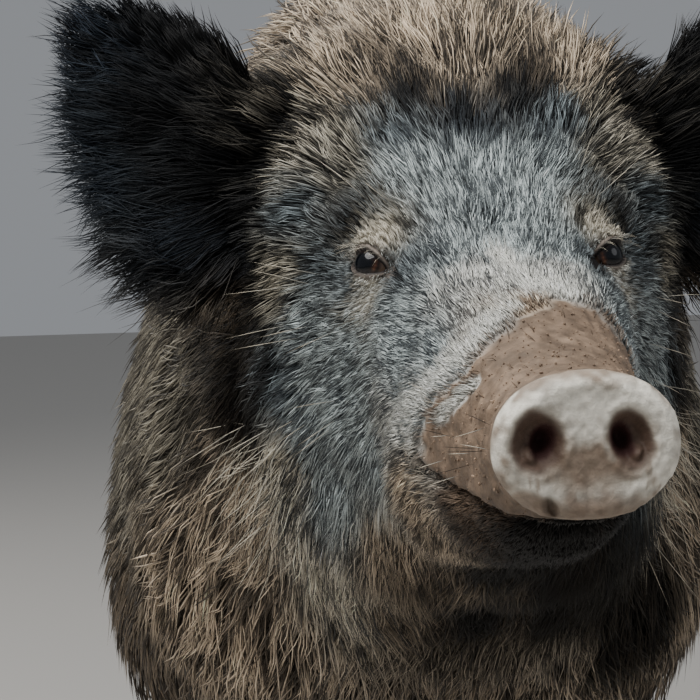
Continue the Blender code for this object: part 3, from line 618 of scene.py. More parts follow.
def near_eyes(places, reach):
    return np.min([np.linalg.norm(places - spot, axis=1) for spot in eye_spots], axis=0) < reach


def near_nostrils(places, reach):
    aside = np.abs(places[:, 0]) - PLUG["at"][0]
    return (np.hypot(aside, places[:, 2]) < reach) & (places[:, 1] < 0.008)


finer(lambda at: (at[:, 1] < FACE_BACK) & (np.abs(at[:, 0]) < 0.12))
finer(lambda at: near_eyes(at, 0.024) | (at[:, 1] < 0.015))
finer(lambda at: near_eyes(at, 0.0160) | near_nostrils(at, 0.0150))
pairs = edges_of(hide.data)
places = read(hide.data)
for step in range(3):
    at = in_head(places)
    fine = (at[:, 1] < FACE_BACK - 0.01) & (np.abs(at[:, 0]) < 0.11)
    places = eased(places, pairs, np.where(fine & (at[:, 1] > 0.012), 0.5, 0))
write(hide.data, places)


def relief(places):
    """How far each point of the hide stands out along its normal."""
    at = in_head(places)
    face = 1 - rise(at[:, 1], FACE_BACK - 0.04, FACE_BACK + 0.02)
    high = np.zeros(len(at))
    for spot, radius, height in SWELLS:
        for side in (1, -1):
            gap = np.linalg.norm(at - np.array(spot) * MM * (side, 1, 1), axis=1) / (radius * MM)
            high += height * MM * np.exp(-2 * gap**2) * (0.5 if spot[0] == 0 else 1)
    (b0, u0), (b1, u1) = np.array(MOUTH) * MM
    line = u0 + (at[:, 1] - b0) * (u1 - u0) / (b1 - b0)
    in_mouth = rise(at[:, 1], b0 - 0.004, b0 + 0.012) * (1 - rise(at[:, 1], b1 - 0.02, b1))
    high -= MOUTH_DEEP * in_mouth * hump(at[:, 2] - line, MOUTH_HALF)
    high += LIP["high"] * in_mouth * hump(at[:, 2] - line - LIP["above"], LIP["half"])
    upper = rise(at[:, 2], -0.03, -0.01)
    waver = FOLD_WAVER * noise(at * (1, 0.2, 1), 0.02, 9)
    for back in FOLDS:
        high += FOLD_HIGH * upper * hump(at[:, 1] - back * MM + waver, FOLD_HALF)
    crumbs = CRUMB_HIGH * noise(at, CRUMB, 5) + 0.0004 * noise(at, CRUMB / 2, 6)
    high += mud_at(at) * (MUD_THICK + crumbs)
    high += 0.0006 * noise(at, 0.012, 7)
    return high * face * rise(at[:, 1], 0.008, 0.020)


write(hide.data, places)
places = places + read(hide.data, "normal") * relief(places)[:, None]
write(hide.data, places)

# ---- the nose disc -----------------------------------------------------------------------------
# The rooting disc is bare, tough skin: a raised rim, a muddy middle, and two wide nostrils, each a
# shallow bowl that drops into a deep hole on its inner side. It is worked into the hide itself.
NOSTRIL = {"across": 0.0215, "aside": -0.0020, "up": 0.0034, "half": (0.0121, 0.0142), "lean": 0.25}
BOWL_DEEP = 0.0060
UNLIKE = 0.10                    # the right nostril is wider by this share, the left one narrower
HOLE = {"inwards": 0.0034, "down": 0.0010, "half": (0.0058, 0.0086), "lean": 0.3}
HOLE_DEEP = 0.0090
CURL_IN = {"out": 0.0030, "down": 0.0066, "half": (0.0034, 0.0046), "lean": 0.5}  # fold in a nostril
CURL_HIGH = 0.0052
SMEAR = {"across": -0.026, "up": -0.0270, "half": (0.0150, 0.0080), "lean": -0.65}  # over the lower rim
NOTCH = {"across": -0.018, "up": -0.0275, "half": (0.0035, 0.0065), "lean": 0.5}  # in the lower rim
NOTCH_DEEP = 0.004
WAIST, LOWER_WAIST = 0.13, (0.004, 0.034)  # the disc narrows by this share, between these depths


def oval(at, across, up, half, lean=0.0):
    """0 in the middle of an oval of the disc's face, 1 on its edge, more outside."""
    a, u = at[:, 0] - across, at[:, 2] - up
    a, u = a * cos(lean) + u * sin(lean), u * cos(lean) - a * sin(lean)
    return np.sqrt((a / half[0]) ** 2 + (u / half[1]) ** 2)


def nostril(at, side):
    """The ovals of a nostril's bowl and of the hole in it."""
    middle = side * NOSTRIL["across"] + NOSTRIL["aside"]
    half = np.array(NOSTRIL["half"]) * (1 - side * UNLIKE, 1)
    bowl = oval(at, middle, NOSTRIL["up"], half, side * NOSTRIL["lean"])
    hole = oval(at, middle - side * HOLE["inwards"], NOSTRIL["up"] - HOLE["down"], HOLE["half"],
                side * HOLE["lean"])
    return bowl, hole


def disc_relief(at):
    """How far the disc's face lies behind its rim, for places in the head."""
    wide = at.copy()
    wide[:, 0] *= 1 + WAIST * rise(-at[:, 2], *LOWER_WAIST)
    edge = oval(wide, 0, 0, DISC_HALF)
    back = 0.0008 * (1 - rise(edge, 0.45, 0.86)) + 0.0024 * rise(edge, 0.86, 1.06)  # hollow, outer slope
    back -= 0.0006 * hump(edge - 0.84, 0.09)                                        # raised rim
    for side in (1, -1):
        bowl, hole = nostril(at, side)
        back += BOWL_DEEP * (1 - rise(bowl, 0.35, 1.0))
        back -= 0.0010 * hump(bowl - 1.18, 0.16)                                    # its raised edge
        back += HOLE_DEEP * (1 - rise(hole, 0.05, 1.0))
        fold = oval(at, side * (NOSTRIL["across"] + CURL_IN["out"]) + NOSTRIL["aside"],
                    NOSTRIL["up"] - CURL_IN["down"], CURL_IN["half"], -side * CURL_IN["lean"])
        back -= CURL_HIGH * (1 - rise(fold, 0.2, 1.2)) * (1 - rise(bowl, 0.8, 1.05))
    back += NOTCH_DEEP * (1 - rise(oval(at, **NOTCH), 0.3, 1.0))
    back += 0.0012 * hump(at[:, 0], 0.0022) * rise(-at[:, 2], 0.004, 0.016)         # groove to the lip
    back += 0.0005 * noise(at, 0.007, 11) + 0.0004 * noise(at, 0.0022, 12)
    return back


at = in_head(places)
at[:, 1] += disc_relief(at) * (1 - rise(at[:, 1], 0.004, 0.014))
at[:, 0] *= 1 - 0.11 * rise(-at[:, 2], *LOWER_WAIST) * (1 - rise(at[:, 1], 0.016, 0.05))
places = from_head(at)
write(hide.data, places)

# ---- the eyelids -------------------------------------------------------------------------------
# The hide is drawn over the ball in two lids with a thin dark rim and paler bare skin beside it. A
# fold runs over the upper lid, a softer one under the lower, and the inner corner runs out into the
# tear groove.
GAZE = {1: (0.52, -0.80, 0.28), -1: (0.75, -0.59, 0.27)}  # outwards, back, up: where each ball looks
LID_TILT = radians(11)          # the inner corner lies lower
OPENING = {"inner": 0.0134, "outer": 0.0156, "upper": 0.0058, "lower": 0.0051}
OPENING_ROUND = 1.5              # 2 would be an oval, 1 a lozenge
LID_THICK = 0.0013
UPPER_FOLD = 0.0040              # from the upper lid's rim to its crease
LOWER_FOLD = 0.0036
BEHIND_LIDS = 0.86               # inside the opening the hide sinks to this share of the ball's radius


def eye_frame(side):
    """Three directions of an eye: the gaze, towards the inner corner, and up across the lids."""
    gaze = np.array(GAZE[side]) * (side, 1, 1)
    gaze /= np.linalg.norm(gaze)
    inwards = np.cross((0, 0, 1), gaze) * -side
    inwards /= np.linalg.norm(inwards)
    up = np.cross(gaze, inwards) * -side
    up *= np.sign(up[2])
    tilted = inwards * cos(LID_TILT) - up * sin(LID_TILT), up * cos(LID_TILT) + inwards * sin(LID_TILT)
    return np.array((gaze, *tilted)) @ HEAD_AXES


def lid_gap(places, side):
    """Distance outside the opening of the lids, along the ball, and the height over its middle."""
    gaze, inwards, up = ((places - EYES[side]) @ eye_frame(side).T).T
    reach = np.sqrt(gaze**2 + inwards**2 + up**2)
    x = EYE_RADIUS * np.arctan2(inwards, np.maximum(gaze, 1e-4))
    y = EYE_RADIUS * np.arcsin(np.clip(up / np.maximum(reach, 1e-6), -1, 1))
    along = np.abs(x) / np.where(x > 0, OPENING["inner"], OPENING["outer"])
    height = np.abs(y) / np.where(y > 0, OPENING["upper"], OPENING["lower"])
    shape = (along**OPENING_ROUND + height**OPENING_ROUND) ** (1 / OPENING_ROUND)
    flat = np.hypot(x, y) / np.maximum(shape, 1e-6)
    gap = (shape - 1) * flat
    gap = np.where(gaze > 0, gap, np.maximum(gap, 0.012 - gaze))
    gap = np.where(gap > 0, np.hypot(gap, np.maximum(reach - EYE_RADIUS - 0.004, 0)), gap)
    return gap, y, reach


# how much painted shade lies in the crease over each upper lid, for the skin's colours
crease_shade = np.zeros(len(places))
for side in (1, -1):
    gap, y, reach = lid_gap(places, side)
    close = (gap < 0.016) & (reach < 0.034)
    over = rise(y, 0.000, 0.005)
    crease = over * hump(gap - UPPER_FOLD, 0.0011)
    rim = EYE_RADIUS + LID_THICK + 0.0007 * rise(gap, 0.0006, 0.0022) + 0.0010 * over
    rim = rim - 0.0020 * crease - 0.0007 * (1 - over) * hump(gap - LOWER_FOLD, 0.0012)
    rim = rim + 0.0022 * over * hump(gap - 2 * UPPER_FOLD, 0.0028)
    crease_shade = np.maximum(crease_shade, np.where(close, crease, 0))
    sunk = EYE_RADIUS * BEHIND_LIDS
    rim = sunk + (rim - sunk) * rise(gap, 0, 0.0006)
    share = 1 - rise(gap, 0.0055, 0.0150)
    drawn = rim * share + np.maximum(reach, EYE_RADIUS + 0.0004) * (1 - share)
    moved = EYES[side] + (places - EYES[side]) * (drawn / np.maximum(reach, 1e-6))[:, None]
    places = np.where(close[:, None], moved, places)
write(hide.data, places)
skin_gaps = np.minimum(*(lid_gap(places, side)[0] + np.where(
    np.linalg.norm(places - EYES[side], axis=1) < 0.04, 0, 1) for side in (1, -1)))

# ---- the skin's finish -------------------------------------------------------------------------
# Grey hide under thin hair, darker towards the legs and ears, with the coat's own markings and its
# painted shade; bare and pale on the nose disc, which is dusted and smeared with dried mud, greyer
# low down partly as painted shade, and painted dark as shade in its nostrils' holes and its notch;
# dark along the lids' rims, with painted shade in the crease over the upper lid.
DISC_PALE, DISC_GREY, DISC_MUD = dye(224, 219, 206), dye(150, 146, 138), dye(122, 103, 86)
# the second nostril colour is painted shade for their deep holes
NOSTRIL_WALL, NOSTRIL_SHADE = dye(82, 63, 52), dye(66, 42, 40)
LID_DARK, LID_SKIN = dye(24, 18, 17), dye(116, 106, 98)
SKIN_SHARE, MUDDY_SHARE = 0.22, 0.85  # the hide's colour between the coat's roots and its tips
STRAY, CROWN_STRAY = 0.004, 0.009  # how far borders of colours waver, and how much more on the crown
SHADE_FULL = 0.96                 # how far the painted shade of a dark mark covers the coat's own colour
MUD_SHADE_BELOW, MUD_DARKER_ABOVE = 0.40, 0.20  # mud is darker by these shares: low on the snout as painted shade, and on its bridge


def blend(first, second, share):
    return first + (second - first) * np.asarray(share).reshape(-1, 1)


def markings(points):
    """The coat's colours at root and tip at each point, with wavering borders, pale marks, painted shade
    and mud.
    """
    at = in_head(points)
    stray = STRAY + CROWN_STRAY * rise(at[:, 1], 0.26, 0.32) * rise(at[:, 2], 0.08, 0.12)
    shake = np.column_stack([noise(points, 0.011, seed) for seed in (21, 22, 23)])
    values = coat_at(points + stray[:, None] * shake)
    root, tip = values[:, ROOT], values[:, TIP]
    near = at[:, 1] < 0.22
    pale, mud = mark_at(at) * near, mud_at(at) * near
    root, tip = blend(root, PALE * 0.62, pale), blend(tip, PALE, pale)
    # painted shade: the dark marks darken root and tip towards near black
    dark = SHADE_FULL * mark_at(at, SHADE_MARKS) * (at[:, 1] < 0.60) * (1 - mud)
    root, tip = blend(root, SOOT, dark), blend(tip, SOOT, dark)
    tint = rise(noise(points, 0.008, 24) + 0.8 * noise(points, 0.003, 27), -0.7, 0.9)
    # painted shade darkens the mud low on the snout; on its bridge the mud is darker as well
    mud_darkening = 1 - MUD_SHADE_BELOW * rise(-at[:, 2], 0.004, 0.045) - MUD_DARKER_ABOVE * rise(at[:, 2], 0.020, 0.040)
    dried = blend(MUD * 0.58, MUD, tint) * mud_darkening[:, None]
    return blend(root, WET_MUD * mud_darkening[:, None], mud), blend(tip, dried, mud)


def skin_colours(places, gaps, crease_shading):
    root, tip = markings(places)
    at = in_head(places)
    across, up = np.abs(at[:, 0]), at[:, 2]
    colours = blend(root, tip, SKIN_SHARE + (MUDDY_SHARE - SKIN_SHARE) * mud_at(at))
    colours *= (1 + 0.20 * noise(places, 0.006, 25) + 0.14 * noise(places, 0.0025, 26))[:, None]
    bare = 1 - rise(at[:, 1] + 0.002 * noise(at, 0.006, 34), 0.007, 0.012)
    for side in (1, -1):
        bare = np.maximum(bare, (nostril(at, side)[0] < 1.1) & (at[:, 1] < 0.026))
    mottle = noise(at, 0.0045, 31)
    smear = noise(at, 0.011, 32) * 0.6 + noise(at, 0.0045, 33) * 0.4
    # the disc's lower part is greyer: partly its own grey skin, partly painted shade
    grey_and_shade_low = 0.75 * rise(-up + 0.004 * smear, 0.014, 0.026) * (1 - rise(across, 0.022, 0.032))
    disc = blend(DISC_PALE, DISC_GREY, 0.45 * rise(mottle + smear, -0.1, 0.9) + grey_and_shade_low)
    # mud lies thick in the middle below the nostrils, but for a pale wedge between them
    muddy = 0.92 * (1 - rise(across / 0.0175 + 0.5 * smear, 0.55, 1.35))
    muddy *= 1 - rise(up + 0.006 * smear, -0.001, 0.010)
    wedge = hump(at[:, 0] + 0.0045 + 0.001 * smear, 0.0022 + 0.3 * np.maximum(up, 0))
    muddy *= rise(up + 0.006 * smear, -0.030, -0.010) * (1 - 0.8 * wedge * rise(up, -0.004, 0.006))
    edge = oval(at, 0, 0, DISC_HALF)
    streaks = noise(at * (1, 1, 0.22), 0.0032, 35) + 0.5 * noise(at * (1, 1, 0.3), 0.0015, 36)
    for layer in (
            0.80 * rise(edge + 0.26 * smear, 0.88, 1.08),                # the outer rim
            0.85 * rise(up + 0.010 * smear, 0.024, 0.036),               # its top
            0.62 * rise(streaks, 0.1, 0.8) * rise(-up, -0.004, 0.016),   # runs below the nostrils
            0.38 * rise(smear + 0.4 * mottle, 0.10, 0.8),                # dust all over
            0.82 * rise(-up + 0.005 * smear, 0.017, 0.030),              # the lip
            0.85 * (1 - rise(oval(at, **SMEAR) + 0.35 * smear, 0.55, 1.10))):
        muddy = np.maximum(muddy, layer)
    disc = blend(disc, DISC_MUD, muddy)
    for side in (1, -1):
        bowl, hole = nostril(at, side)
        under = rise(bowl + 0.40 * smear + 10 * up, 0.92, 1.36)          # dirt gathers below a nostril
        disc = blend(disc, DISC_MUD * 0.75, 0.65 * (1 - under))
        disc = blend(disc, NOSTRIL_WALL, 0.95 * (1 - rise(bowl + 0.18 * smear, 0.80, 1.16)))
        # painted shade deep in each nostril's hole
        disc = blend(disc, NOSTRIL_SHADE, 1 - rise(hole, 0.80, 1.20))
    # painted shade in the notch of the lower rim
    disc = blend(disc, WET_MUD * 0.5, 0.85 * (1 - rise(oval(at, **NOTCH), 0.6, 1.2)))
    colours = blend(colours, disc, bare)
    colours = blend(colours, LID_SKIN, 0.9 * (1 - rise(gaps, 0.0026, 0.0070)))
    # dark along the lids' rims, and painted shade in the crease over the upper lid
    return blend(colours, LID_DARK, np.maximum(1 - rise(gaps, 0.0006, 0.0018), 0.75 * crease_shading))


class Amount:
    """A shader value on which Python's own arithmetic works by adding Math nodes."""

    def __init__(self, tree, socket):
        self.tree, self.socket = tree, socket

    def _math(self, operation, first, second):
        node = self.tree.nodes.new("ShaderNodeMath")
        node.operation = operation
        for place, value in enumerate((first, second)):
            if isinstance(value, Amount):
                self.tree.links.new(value.socket, node.inputs[place])
            else:
                node.inputs[place].default_value = value
        return Amount(self.tree, node.outputs[0])

    def __add__(self, other):
        return self._math("ADD", self, other)

    def __radd__(self, other):
        return self._math("ADD", other, self)

    def __mul__(self, other):
        return self._math("MULTIPLY", self, other)

    def __rmul__(self, other):
        return self._math("MULTIPLY", other, self)


class Finish:
    """A material whose nodes are added one by one to its Principled BSDF."""

    def __init__(self, name, **constants):
        self.material = bpy.data.materials.new(name)
        self.material.use_nodes = True
        self.tree = self.material.node_tree
        self.shader = self.tree.nodes["Principled BSDF"]
        self.feed(self.shader, **constants)

    def feed(self, node, **values):
        """Links or sets the node's sockets; an underscore stands for a space in a socket's name."""
        for name, value in values.items():
            plain = name.replace("_", " ")
            socket = next(s for s in node.inputs
                          if s.enabled and plain in (s.name, s.identifier.replace("_", " ")))
            if isinstance(value, Amount):
                self.tree.links.new(value.socket, socket)
            elif socket.type == "RGBA" and len(value) == 3:
                socket.default_value = (*value, 1)
            else:
                socket.default_value = value

    def node(self, kind, settings=None, output=0, **values):
        """Adds a node: its settings first, then the values and links of its sockets."""
        node = self.tree.nodes.new("ShaderNode" + kind)
        for name, value in (settings or {}).items():
            if name == "stops":
                while len(node.color_ramp.elements) < len(value):
                    node.color_ramp.elements.new(0.5)
                for element, (position, colour) in zip(node.color_ramp.elements, value):
                    element.position, element.color = position, (*colour, 1)
            else:
                setattr(node, name, value)
        self.feed(node, **values)
        return Amount(self.tree, node.outputs[output])

    def mix(self, share, first, second, way="MIX"):
        settings = {"data_type": "RGBA", "blend_type": way}
        return self.node("Mix", settings, 2, Factor_Float=share, A_Color=first, B_Color=second)

    def noise(self, scale, detail):
        return self.node("TexNoise", None, 0, Vector=self.place(), Scale=scale, Detail=detail)

    def span(self, value, ends, new_ends):
        """The value's range between two ends, stretched to two new ends."""
        limits = dict(zip(("From_Min", "From_Max", "To_Min", "To_Max"), (*ends, *new_ends)))
        return self.node("MapRange", None, 0, Value=value, **limits)

    def place(self):
        return self.node("TexCoord", None, "Object")

    def attribute(self, name, output="Color"):
        return self.node("Attribute", {"attribute_name": name}, output)

    def bump(self, height, strength, distance):
        return self.node("Bump", None, 0, Height=height, Strength=strength, Distance=distance)


def paint(mesh, colours, name="coat"):
    layer = mesh.color_attributes.new(name, "FLOAT_COLOR", "POINT")
    full = np.column_stack((np.clip(colours, 0, 1), np.ones(len(colours)))).astype(np.float32)
    layer.data.foreach_set("color", full.ravel())


hide_finish = Finish("hide", Roughness=0.62, Specular_IOR_Level=0.3)
pores = hide_finish.noise(900.0, 2.0)
grain = hide_finish.noise(240.0, 4.0)
tone = hide_finish.span(grain, (0.3, 0.7), (0.82, 1.15))
hide_colour = hide_finish.mix(1.0, hide_finish.attribute("coat"), tone, "MULTIPLY")
hide_finish.feed(hide_finish.shader, Base_Color=hide_colour,
                 Normal=hide_finish.bump(grain * 0.7 + pores * 0.5, 0.5, 0.0012))
paint(hide.data, skin_colours(places, skin_gaps, crease_shade))
hide.data.materials.clear()
hide.data.materials.append(hide_finish.material)
hide.data.shade_smooth()
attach(hide, "root")
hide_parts(*FLESH)

# ---- the eyes ----------------------------------------------------------------------------------
# Each ball has a wide dark iris of amber and brown fibres, an oval pupil that lies level, and a
# rim of brown white that the lids nearly hide. Its front bulges a little and is wet all over.
IRIS_HALF, PUPIL_HALF = radians(46), (radians(29), radians(21))
BULGE = 0.0007
eye_finish = Finish("wet_eye", Roughness=0.3, Specular_IOR_Level=0.05, Coat_Weight=0.7, Coat_Roughness=0.06)
fibre = eye_finish.node("TexNoise", None, 0, Vector=eye_finish.attribute("fibres", "Vector"),
                        Scale=9.0, Detail=4.0)
iris = eye_finish.node("ValToRGB", {"stops": ((0.30, dye(58, 34, 24)), (0.50, dye(88, 55, 38)),
                                              (0.72, dye(128, 86, 60)))}, 0, Fac=fibre)
eye_tint = eye_finish.attribute("tint")
amber = eye_finish.attribute("iris", "Fac")
eye_finish.feed(eye_finish.shader, Base_Color=eye_finish.mix(amber, eye_tint, iris))


def face_outwards(mesh):
    work = bmesh.new()
    work.from_mesh(mesh)
    bmesh.ops.recalc_face_normals(work, faces=work.faces[:])
    work.to_mesh(mesh)
    work.free()


for word, side in SIDES.items():
    bpy.ops.mesh.primitive_uv_sphere_add(segments=64, ring_count=48, radius=EYE_RADIUS)
    ball = bpy.context.object
    ball.name = ball.data.name = "ball_" + word
    gaze, inwards, up = eye_frame(side)
    spots = read(ball.data)                      # the ball's pole looks along the gaze
    across, level, front = spots[:, 0], spots[:, 1], spots[:, 2]
    tilt = np.arccos(np.clip(front / EYE_RADIUS, -1, 1))
    swell = 1 + BULGE / EYE_RADIUS * (1 - rise(tilt, 0.2, IRIS_HALF))
    pupil = np.hypot(across / np.sin(PUPIL_HALF[0]), level / np.sin(PUPIL_HALF[1])) / EYE_RADIUS
    pupil = np.where(front > 0, pupil, 9)
    white = blend(dye(30, 18, 12), dye(92, 76, 64), rise(tilt, IRIS_HALF, IRIS_HALF + 0.25))
    tint = blend(dye(3, 5, 10), white, rise(tilt, IRIS_HALF - 0.10, IRIS_HALF))
    ring = rise(pupil, 0.92, 1.10) * (1 - rise(tilt, IRIS_HALF - 0.16, IRIS_HALF - 0.02))
    ring *= 0.05 + 0.80 * rise(across / EYE_RADIUS, 0.50, 0.66)   # brown shows at the inner side
    paint(ball.data, tint, "tint")
    paint(ball.data, np.repeat(ring[:, None], 3, 1), "iris")
    turn = np.arctan2(level, across)
    paint(ball.data, 0.5 + 0.5 * np.column_stack((np.cos(turn), np.sin(turn), tilt / 4)), "fibres")
    spots = spots * swell[:, None]
    write(ball.data, EYES[side] + spots @ np.array((inwards, up, gaze)))
    face_outwards(ball.data)
    ball.data.shade_smooth()
    ball.data.materials.append(eye_finish.material)
    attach(ball, "root")
    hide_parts("eye_" + word)

# ---- the coat ----------------------------------------------------------------------------------
# Bristles and the finer wool between them, each strand a closed sliver that is widest low down and
# runs out to a point. They rise from the hide, lie over along the chart's way, and draw together
# at their tips into locks. Every strand has its own patch on the piece's bake map.
ALONG = {1: (0.0, 0.50, 1.0), 2: (0.0, 0.32, 0.70, 1.0)}  # where the root, the rings and the tip are
RING_WIDTH = {1: (1.0,), 2: (1.0, 0.85)}
FLAT = 0.62                      # a strand's thickness as a share of its width
SPREAD = 0.16                    # how far strands stray from the chart's way, in radians
GUARD_SHARE = 0.07               # of strands that are guard hairs: longer, and free of the locks
GUARD_LONGER = 1.30
LENGTHS = (0.75, 1.1)            # how long strands are, as shares of the chart's length
LONGEST = 1.35                   # no strand is longer than this share of the chart's length
STANDING = (0.72, 1.08)          # how high strands stand, as shares of the coat's depth
EAR_LIFT = 0.26                  # how far hairs in an ear's hollow rise, as a share of their length
CLOSER = 0.30                    # by this share the coat lies closer along neck, shoulder and flank,
FLANK_BACK, FLANK_OUT = (0.340, 0.420), (0.090, 0.150)  # rising between these places back and out
ROOTED = 0.0008                  # how deep roots sit in the hide
DARK_LOCKS = (0.34, 0.68)        # between these chances a strand goes from dark to pale-tipped
PALE_FROM, PALE_AT = 0.12, 0.62  # where along a strand its tip's colour starts and is full
PATCH = 0.003                    # a strand's patch on the bake map

hide.data.calc_loop_triangles()
hide_triangles = whole(hide.data.loop_triangles, "vertices", 3)
hide_places, hide_normals = read(hide.data), read(hide.data, "normal")
middles = hide_places[hide_triangles].mean(1)
middles_in_head = in_head(middles)
triangle_part = np.array(FLESH)[[part_of[whose.find(middle)[1]] for middle in middles.tolist()]]
edge_a = hide_places[hide_triangles[:, 1]] - hide_places[hide_triangles[:, 0]]
edge_b = hide_places[hide_triangles[:, 2]] - hide_places[hide_triangles[:, 0]]
areas = np.linalg.norm(np.cross(edge_a, edge_b), axis=1) / 2


def plant(weights, count, chance):
    """Roots spread evenly over the hide, as dense as the weights say, and the hide's normals there."""
    total = np.cumsum(areas * weights)
    order = (np.arange(count) + chance.random(count)) / count * total[-1]
    chosen = np.searchsorted(total, order)
    a, b = chance.random((2, count))
    a, b = np.where(a + b > 1, 1 - a, a), np.where(a + b > 1, 1 - b, b)
    share = np.column_stack((1 - a - b, a, b))[:, :, None]
    roots = (hide_places[hide_triangles[chosen]] * share).sum(1)
    normals = (hide_normals[hide_triangles[chosen]] * share).sum(1)
    return roots, unit(normals)


def unit(vectors):
    return vectors / np.maximum(np.linalg.norm(vectors, axis=-1, keepdims=True), 1e-9)


def dot(first, second):
    return (first * second).sum(-1, keepdims=True)


def part_round_eyes(roots, lie, length):
    """Hair near an eye is short and combed away from the lids."""
    keep = np.ones(len(roots), bool)
    for side in (1, -1):
        close = np.linalg.norm(roots - EYES[side], axis=1) < 0.045
        gap, y, _ = lid_gap(roots, side)
        gap = np.where(close, gap, 1)
        away = unit(roots - EYES[side])
        lie = unit(lie + away * (1.1 * (1 - rise(gap, 0.003, 0.022)))[:, None])
        length = length * (0.30 + 0.70 * rise(gap, 0.002, 0.024))
        keep &= gap > 0.0012 + 0.0006 * rise(y, 0.000, 0.005)
    return lie, length, keep


def chance_of(lead):
    """One chance value, 0 to 1, for each lock."""
    return (np.sin(lead * 12.9898) * 43758.5453) % 1


def comb(roots, normals, rings, locks, chance, draw, lift):
    """Paths of all strands from root to tip, the hide's normals under them, their widths, and the
    strand that leads each one's lock, from the chart."""
    values = coat_at(roots)
    lie, length, keep = part_round_eyes(roots, unit(values[:, LIE]), values[:, LENGTH])
    roots, normals, values, lie, length = (each[keep] for each in (roots, normals, values, lie, length))
    count = len(roots)
    leaders = chance.choice(count, max(count // locks, 1), replace=False)
    kd = KDTree(len(leaders))
    for number, leader in enumerate(leaders):
        kd.insert(roots[leader], number)
    kd.balance()
    lead = leaders[np.array([kd.find(root)[1] for root in roots.tolist()])]
    depth = values[:, DEPTH]
    out = dot(lie, normals)[:, 0]
    flat = unit(lie - normals * dot(lie, normals))
    side = np.cross(normals, flat)
    stray = chance.normal(0, SPREAD, count) + 0.26 * noise(roots, 0.02, 41)
    stray += 0.18 * (chance_of(lead + 7) - 0.5)
    flat = flat * np.cos(stray)[:, None] + side * np.sin(stray)[:, None]
    side = np.cross(normals, flat)
    guard = chance.random(count) < GUARD_SHARE
    length = length * chance.uniform(*LENGTHS, count) * (0.78 + 0.36 * chance_of(lead + 3))
    length *= np.where(guard, GUARD_LONGER, 1)
    length = np.minimum(length, LONGEST * values[:, LENGTH])
    height = np.clip(length * np.clip(out, 0, 1), 0.75 * depth, depth)
    height *= chance.uniform(*STANDING, count) * np.where(guard, GUARD_LONGER, 1)
    flank = rise(in_head(roots)[:, 1], *FLANK_BACK) * rise(np.abs(roots[:, 0] - MIDDLE), *FLANK_OUT)
    height *= 1 - CLOSER * flank
    height += lift * length * np.clip(-normals[:, 1], 0, 1) ** 2
    reach = np.sqrt(np.maximum(length**2 - height**2, (0.3 * length) ** 2))
    share = np.array(ALONG[rings])
    phase = 2 * pi * chance_of(lead + 5) + chance.normal(0, 0.7, count)
    curl = values[:, CURL] * length * 0.20
    paths = np.empty((count, len(share), 3))
    for k, s in enumerate(share):
        sway = curl * (np.sin(phase + 3.5 * s) - np.sin(phase))
        risen = height * (1 - (1 - s) ** 1.7)
        paths[:, k] = (roots + flat * (reach * s)[:, None] + normals * risen[:, None]
                       + side * sway[:, None])
    # locks: each strand's outer part bends towards the strand that leads its lock
    pull = draw * chance.uniform(0.5, 1.15, count) * np.where(guard, 0.15, 1)
    for k, s in enumerate(share):
        paths[:, k] += (pull * s**1.3)[:, None] * (paths[lead, k] - paths[:, k])
    paths[:, 0] -= normals * ROOTED
    return paths, normals, values[:, WIDTH] * chance.uniform(0.8, 1.35, count), lead


def dress(paths, lead, chance):
    """Colours of all strands at root and tip, and how much of the tip's colour each strand shows.
    Whole locks are dark or pale-tipped, and single strands stray from their lock."""
    roots, outer = paths[:, 0], paths[:, -1] * 0.6 + paths[:, 0] * 0.4
    root, tip = markings(roots)[0], markings(outer)[1]
    tone = np.exp(chance.normal(0, 0.15, len(roots)))
    kind = 0.5 * chance_of(lead) + 0.5 * chance.random(len(roots))
    reach = 0.10 + rise(kind, *DARK_LOCKS)
    at = in_head(outer)
    even = np.maximum(mud_at(at), mark_at(at)) * (at[:, 1] < 0.22)
    reach = reach + (0.95 - reach) * 0.8 * even
    return root * tone[:, None], tip * tone[:, None], reach


def bake_spots(roots, centre, axis, up):
    """Each root's place on the hide unrolled round an axis, from 0 to 1."""
    axis, up = unit(np.array(axis, float)), np.array(up, float)
    up = unit(up - axis * (up @ axis))
    apart = roots - np.array(centre)
    turn = np.arctan2(apart @ np.cross(axis, up), apart @ up) / (2 * pi) + 0.5
    along = apart @ axis
    along = (along - along.min()) / max(np.ptp(along), 1e-6)
    return np.column_stack((turn, along)) * (1 - 4 * PATCH) + PATCH


def bake_map(mesh, patch):
    """The piece's bake map, from the place of each of its points on it."""
    bake = mesh.uv_layers.new(name="OFBake")
    ends = whole(mesh.loops, "vertex_index")
    bake.uv.foreach_set("vector", patch.reshape(-1, 2)[ends].astype(np.float32).ravel())


